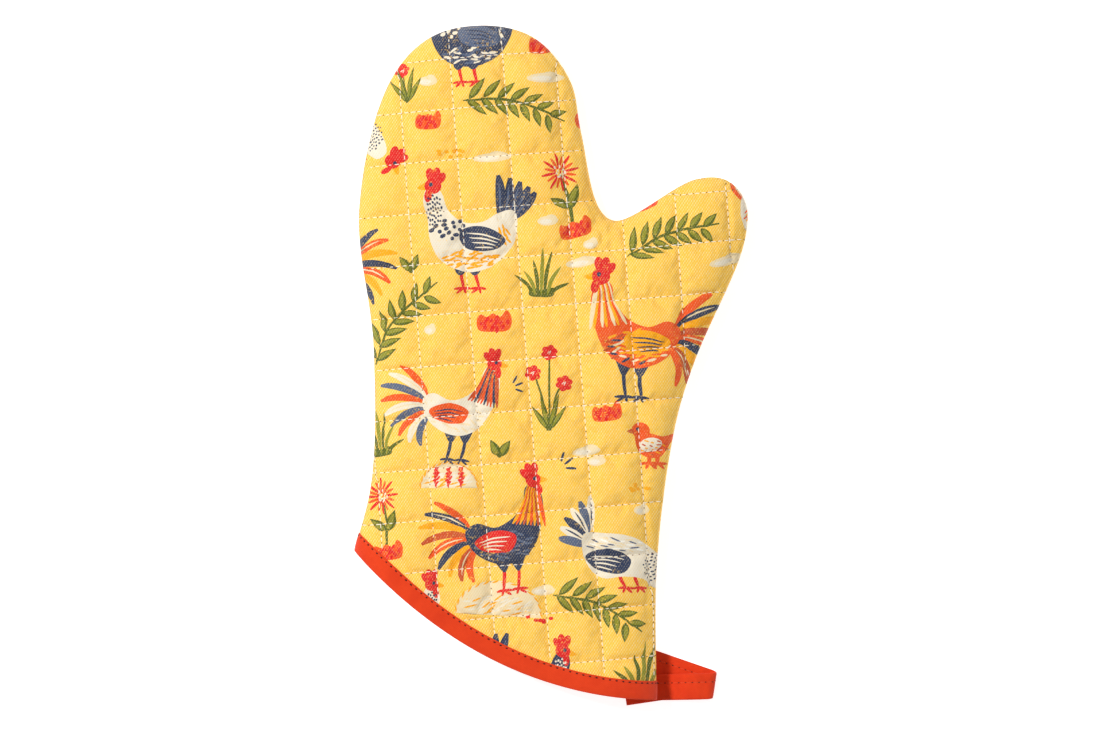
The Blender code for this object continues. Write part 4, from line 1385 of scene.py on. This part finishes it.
def loop_tape(material):
    section = tape_section()
    rows = 150
    points = []
    for k in range(rows):
        along = -TAIL_LENGTH + (TAIL_LENGTH + tape_length()) * k / (rows - 1)
        points += [tape_point(along, across, offset) for across, offset in section]
    size = len(section)
    faces = []
    for i in range(rows - 1):
        for k in range(size):
            m = (k + 1) % size
            faces.append([i * size + m, i * size + k, (i + 1) * size + k, (i + 1) * size + m])
    faces.append(list(range(size)))
    faces.append([(rows - 1) * size + k for k in reversed(range(size))])
    obj = add_piece("loop_tape", points, faces, material, None,
                    ["hanging_loop", "loop_tail_near", "loop_tail_far"])
    bend_at_hinge(obj)
    return obj


def bend_at_hinge(obj):
    """Bakes the object's transform into its mesh."""
    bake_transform(obj)


def loop_stitches(thread, dark):
    across = TAPE_WIDTH / 2 - LOOP_STITCH_INSET

    def row(name, shift, material, slot, radius, length):
        centres, ahead, up = [], [], []
        for along in np.arange(-TAIL_LENGTH + 2 * MM + shift, tape_length() - 2 * MM, STITCH_PITCH):
            for face in (1, -1):
                here = tape_point(along, across, face * TAPE_THICKNESS * 0.40)
                above = tape_point(along, across, face * TAPE_THICKNESS)
                centres.append(here)
                up.append(above - here)
                ahead.append(tape_point(along + 0.3 * MM, across, face * TAPE_THICKNESS * 0.40) - here)
        centres, up = np.array(centres), unit(np.array(up) + (0.0, 0.0, 1e-9))
        centres[:, 2] = np.maximum(centres[:, 2], 0.25 * MM)
        obj = stitches(name, centres, np.array(ahead), up, material, None, radius, length)
        bend_at_hinge(obj)
        return obj

    sewn = row("loop_edge_stitches", 0.0, thread, "topstitch_thread", 0.2 * MM, 2.3 * MM)
    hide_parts("loop_edge_stitch")
    # Dark capsules between the stitches: painted shade in the needle holes
    row("loop_painted_hole_shade", STITCH_PITCH / 2, dark, "loop_cotton", 0.24 * MM, 0.7 * MM)


# ---------------------------------------------------------------- stage, light and camera

def stage():
    floor_mesh = bpy.data.meshes.new("floor")
    size = 3.0
    corners = [(-size, -size, 0), (size, -size, 0), (size, size, 0), (-size, size, 0)]
    floor_mesh.from_pydata(corners, [], [(0, 1, 2, 3)])
    floor = bpy.data.objects.new("floor", floor_mesh)
    floor.location.z = -0.0004
    bpy.context.scene.collection.objects.link(floor)
    material = bpy.data.materials.new("floor_white")
    material.use_nodes = True
    shader = material.node_tree.nodes["Principled BSDF"]
    shader.inputs["Base Color"].default_value = (0.60, 0.60, 0.60, 1.0)
    shader.inputs["Roughness"].default_value = 0.9
    shader.inputs["Specular IOR Level"].default_value = 0.1
    shader.inputs["Emission Color"].default_value = (1.0, 1.0, 1.0, 1.0)
    shader.inputs["Emission Strength"].default_value = 0.80
    floor_mesh.materials.append(material)


def area_light(name, place, target, size, power):
    data = bpy.data.lights.new(name, "AREA")
    data.size = size
    data.energy = power
    light = bpy.data.objects.new(name, data)
    light.location = place
    direction = np.array(target) - np.array(place)
    light.rotation_euler = (math.acos(-direction[2] / np.linalg.norm(direction)), 0.0,
                            math.atan2(-direction[0], direction[1]))
    bpy.context.scene.collection.objects.link(light)


def lights():
    world = bpy.data.worlds.new("studio")
    world.use_nodes = True
    background = world.node_tree.nodes["Background"]
    background.inputs["Color"].default_value = (1.0, 1.0, 1.0, 1.0)
    background.inputs["Strength"].default_value = 0.34
    bpy.context.scene.world = world
    area_light("key", (-0.85, 0.5, 1.9), (0.0, 0.0, 0.0), 0.30, 37.5)
    area_light("fill", (0.9, -0.5, 1.5), (0.0, 0.0, 0.0), 1.2, 2.0)


def camera():
    data = bpy.data.cameras.new("camera")
    data.lens = FOCAL_LENGTH
    data.sensor_width = SENSOR_WIDTH
    data.clip_start = 0.01
    view = bpy.data.objects.new("camera", data)
    middle = (np.array(CAD_BOX[0]) + np.array(CAD_BOX[1])) / 2
    distance = VIEW_WIDTH * FOCAL_LENGTH / SENSOR_WIDTH
    view.location = (middle[0], middle[1], middle[2] + distance)
    bpy.context.scene.collection.objects.link(view)
    bpy.context.scene.camera = view
    bpy.context.scene.view_settings.view_transform = "Standard"


def build():
    camera()
    stage()
    lights()
    thread = thread_material("quilting_thread", (236, 224, 200), (255, 248, 232))
    orange_thread = thread_material("orange_thread", (206, 56, 26), (240, 96, 54))
    hole_shade = thread_material("needle_hole_shade", (44, 12, 10), (60, 16, 12))
    wadding = wadding_material()
    lining = plain_weave("lining_cotton", (232, 222, 198), (214, 200, 170), 420.0)
    cotton = printed_cotton()
    binding_cloth = plain_weave("binding_cotton", (232, 66, 24), (214, 52, 18), 520.0)
    tape_cloth = plain_weave("loop_cotton", (231, 63, 22), (212, 48, 16), 520.0)
    for label, side in (("front", 1), ("back", -1)):
        field = quilting_field(side)
        centres, along = printed_panel(f"{label}_printed_panel", side, field, cotton, f"{label}_outer_panel")
        inner_layers(label, side, field, wadding, lining)
        quilting_stitches(f"{label}_quilting_stitches", side, field, centres, along, thread)
    binding(binding_cloth)
    binding_stitches(orange_thread, hole_shade)
    loop_tape(tape_cloth)
    loop_stitches(orange_thread, hole_shade)
    seam_thread = frame["nodes"]["side_seam_thread"]
    seam_thread.data.materials.clear()
    seam_thread.data.materials.append(thread)


build()
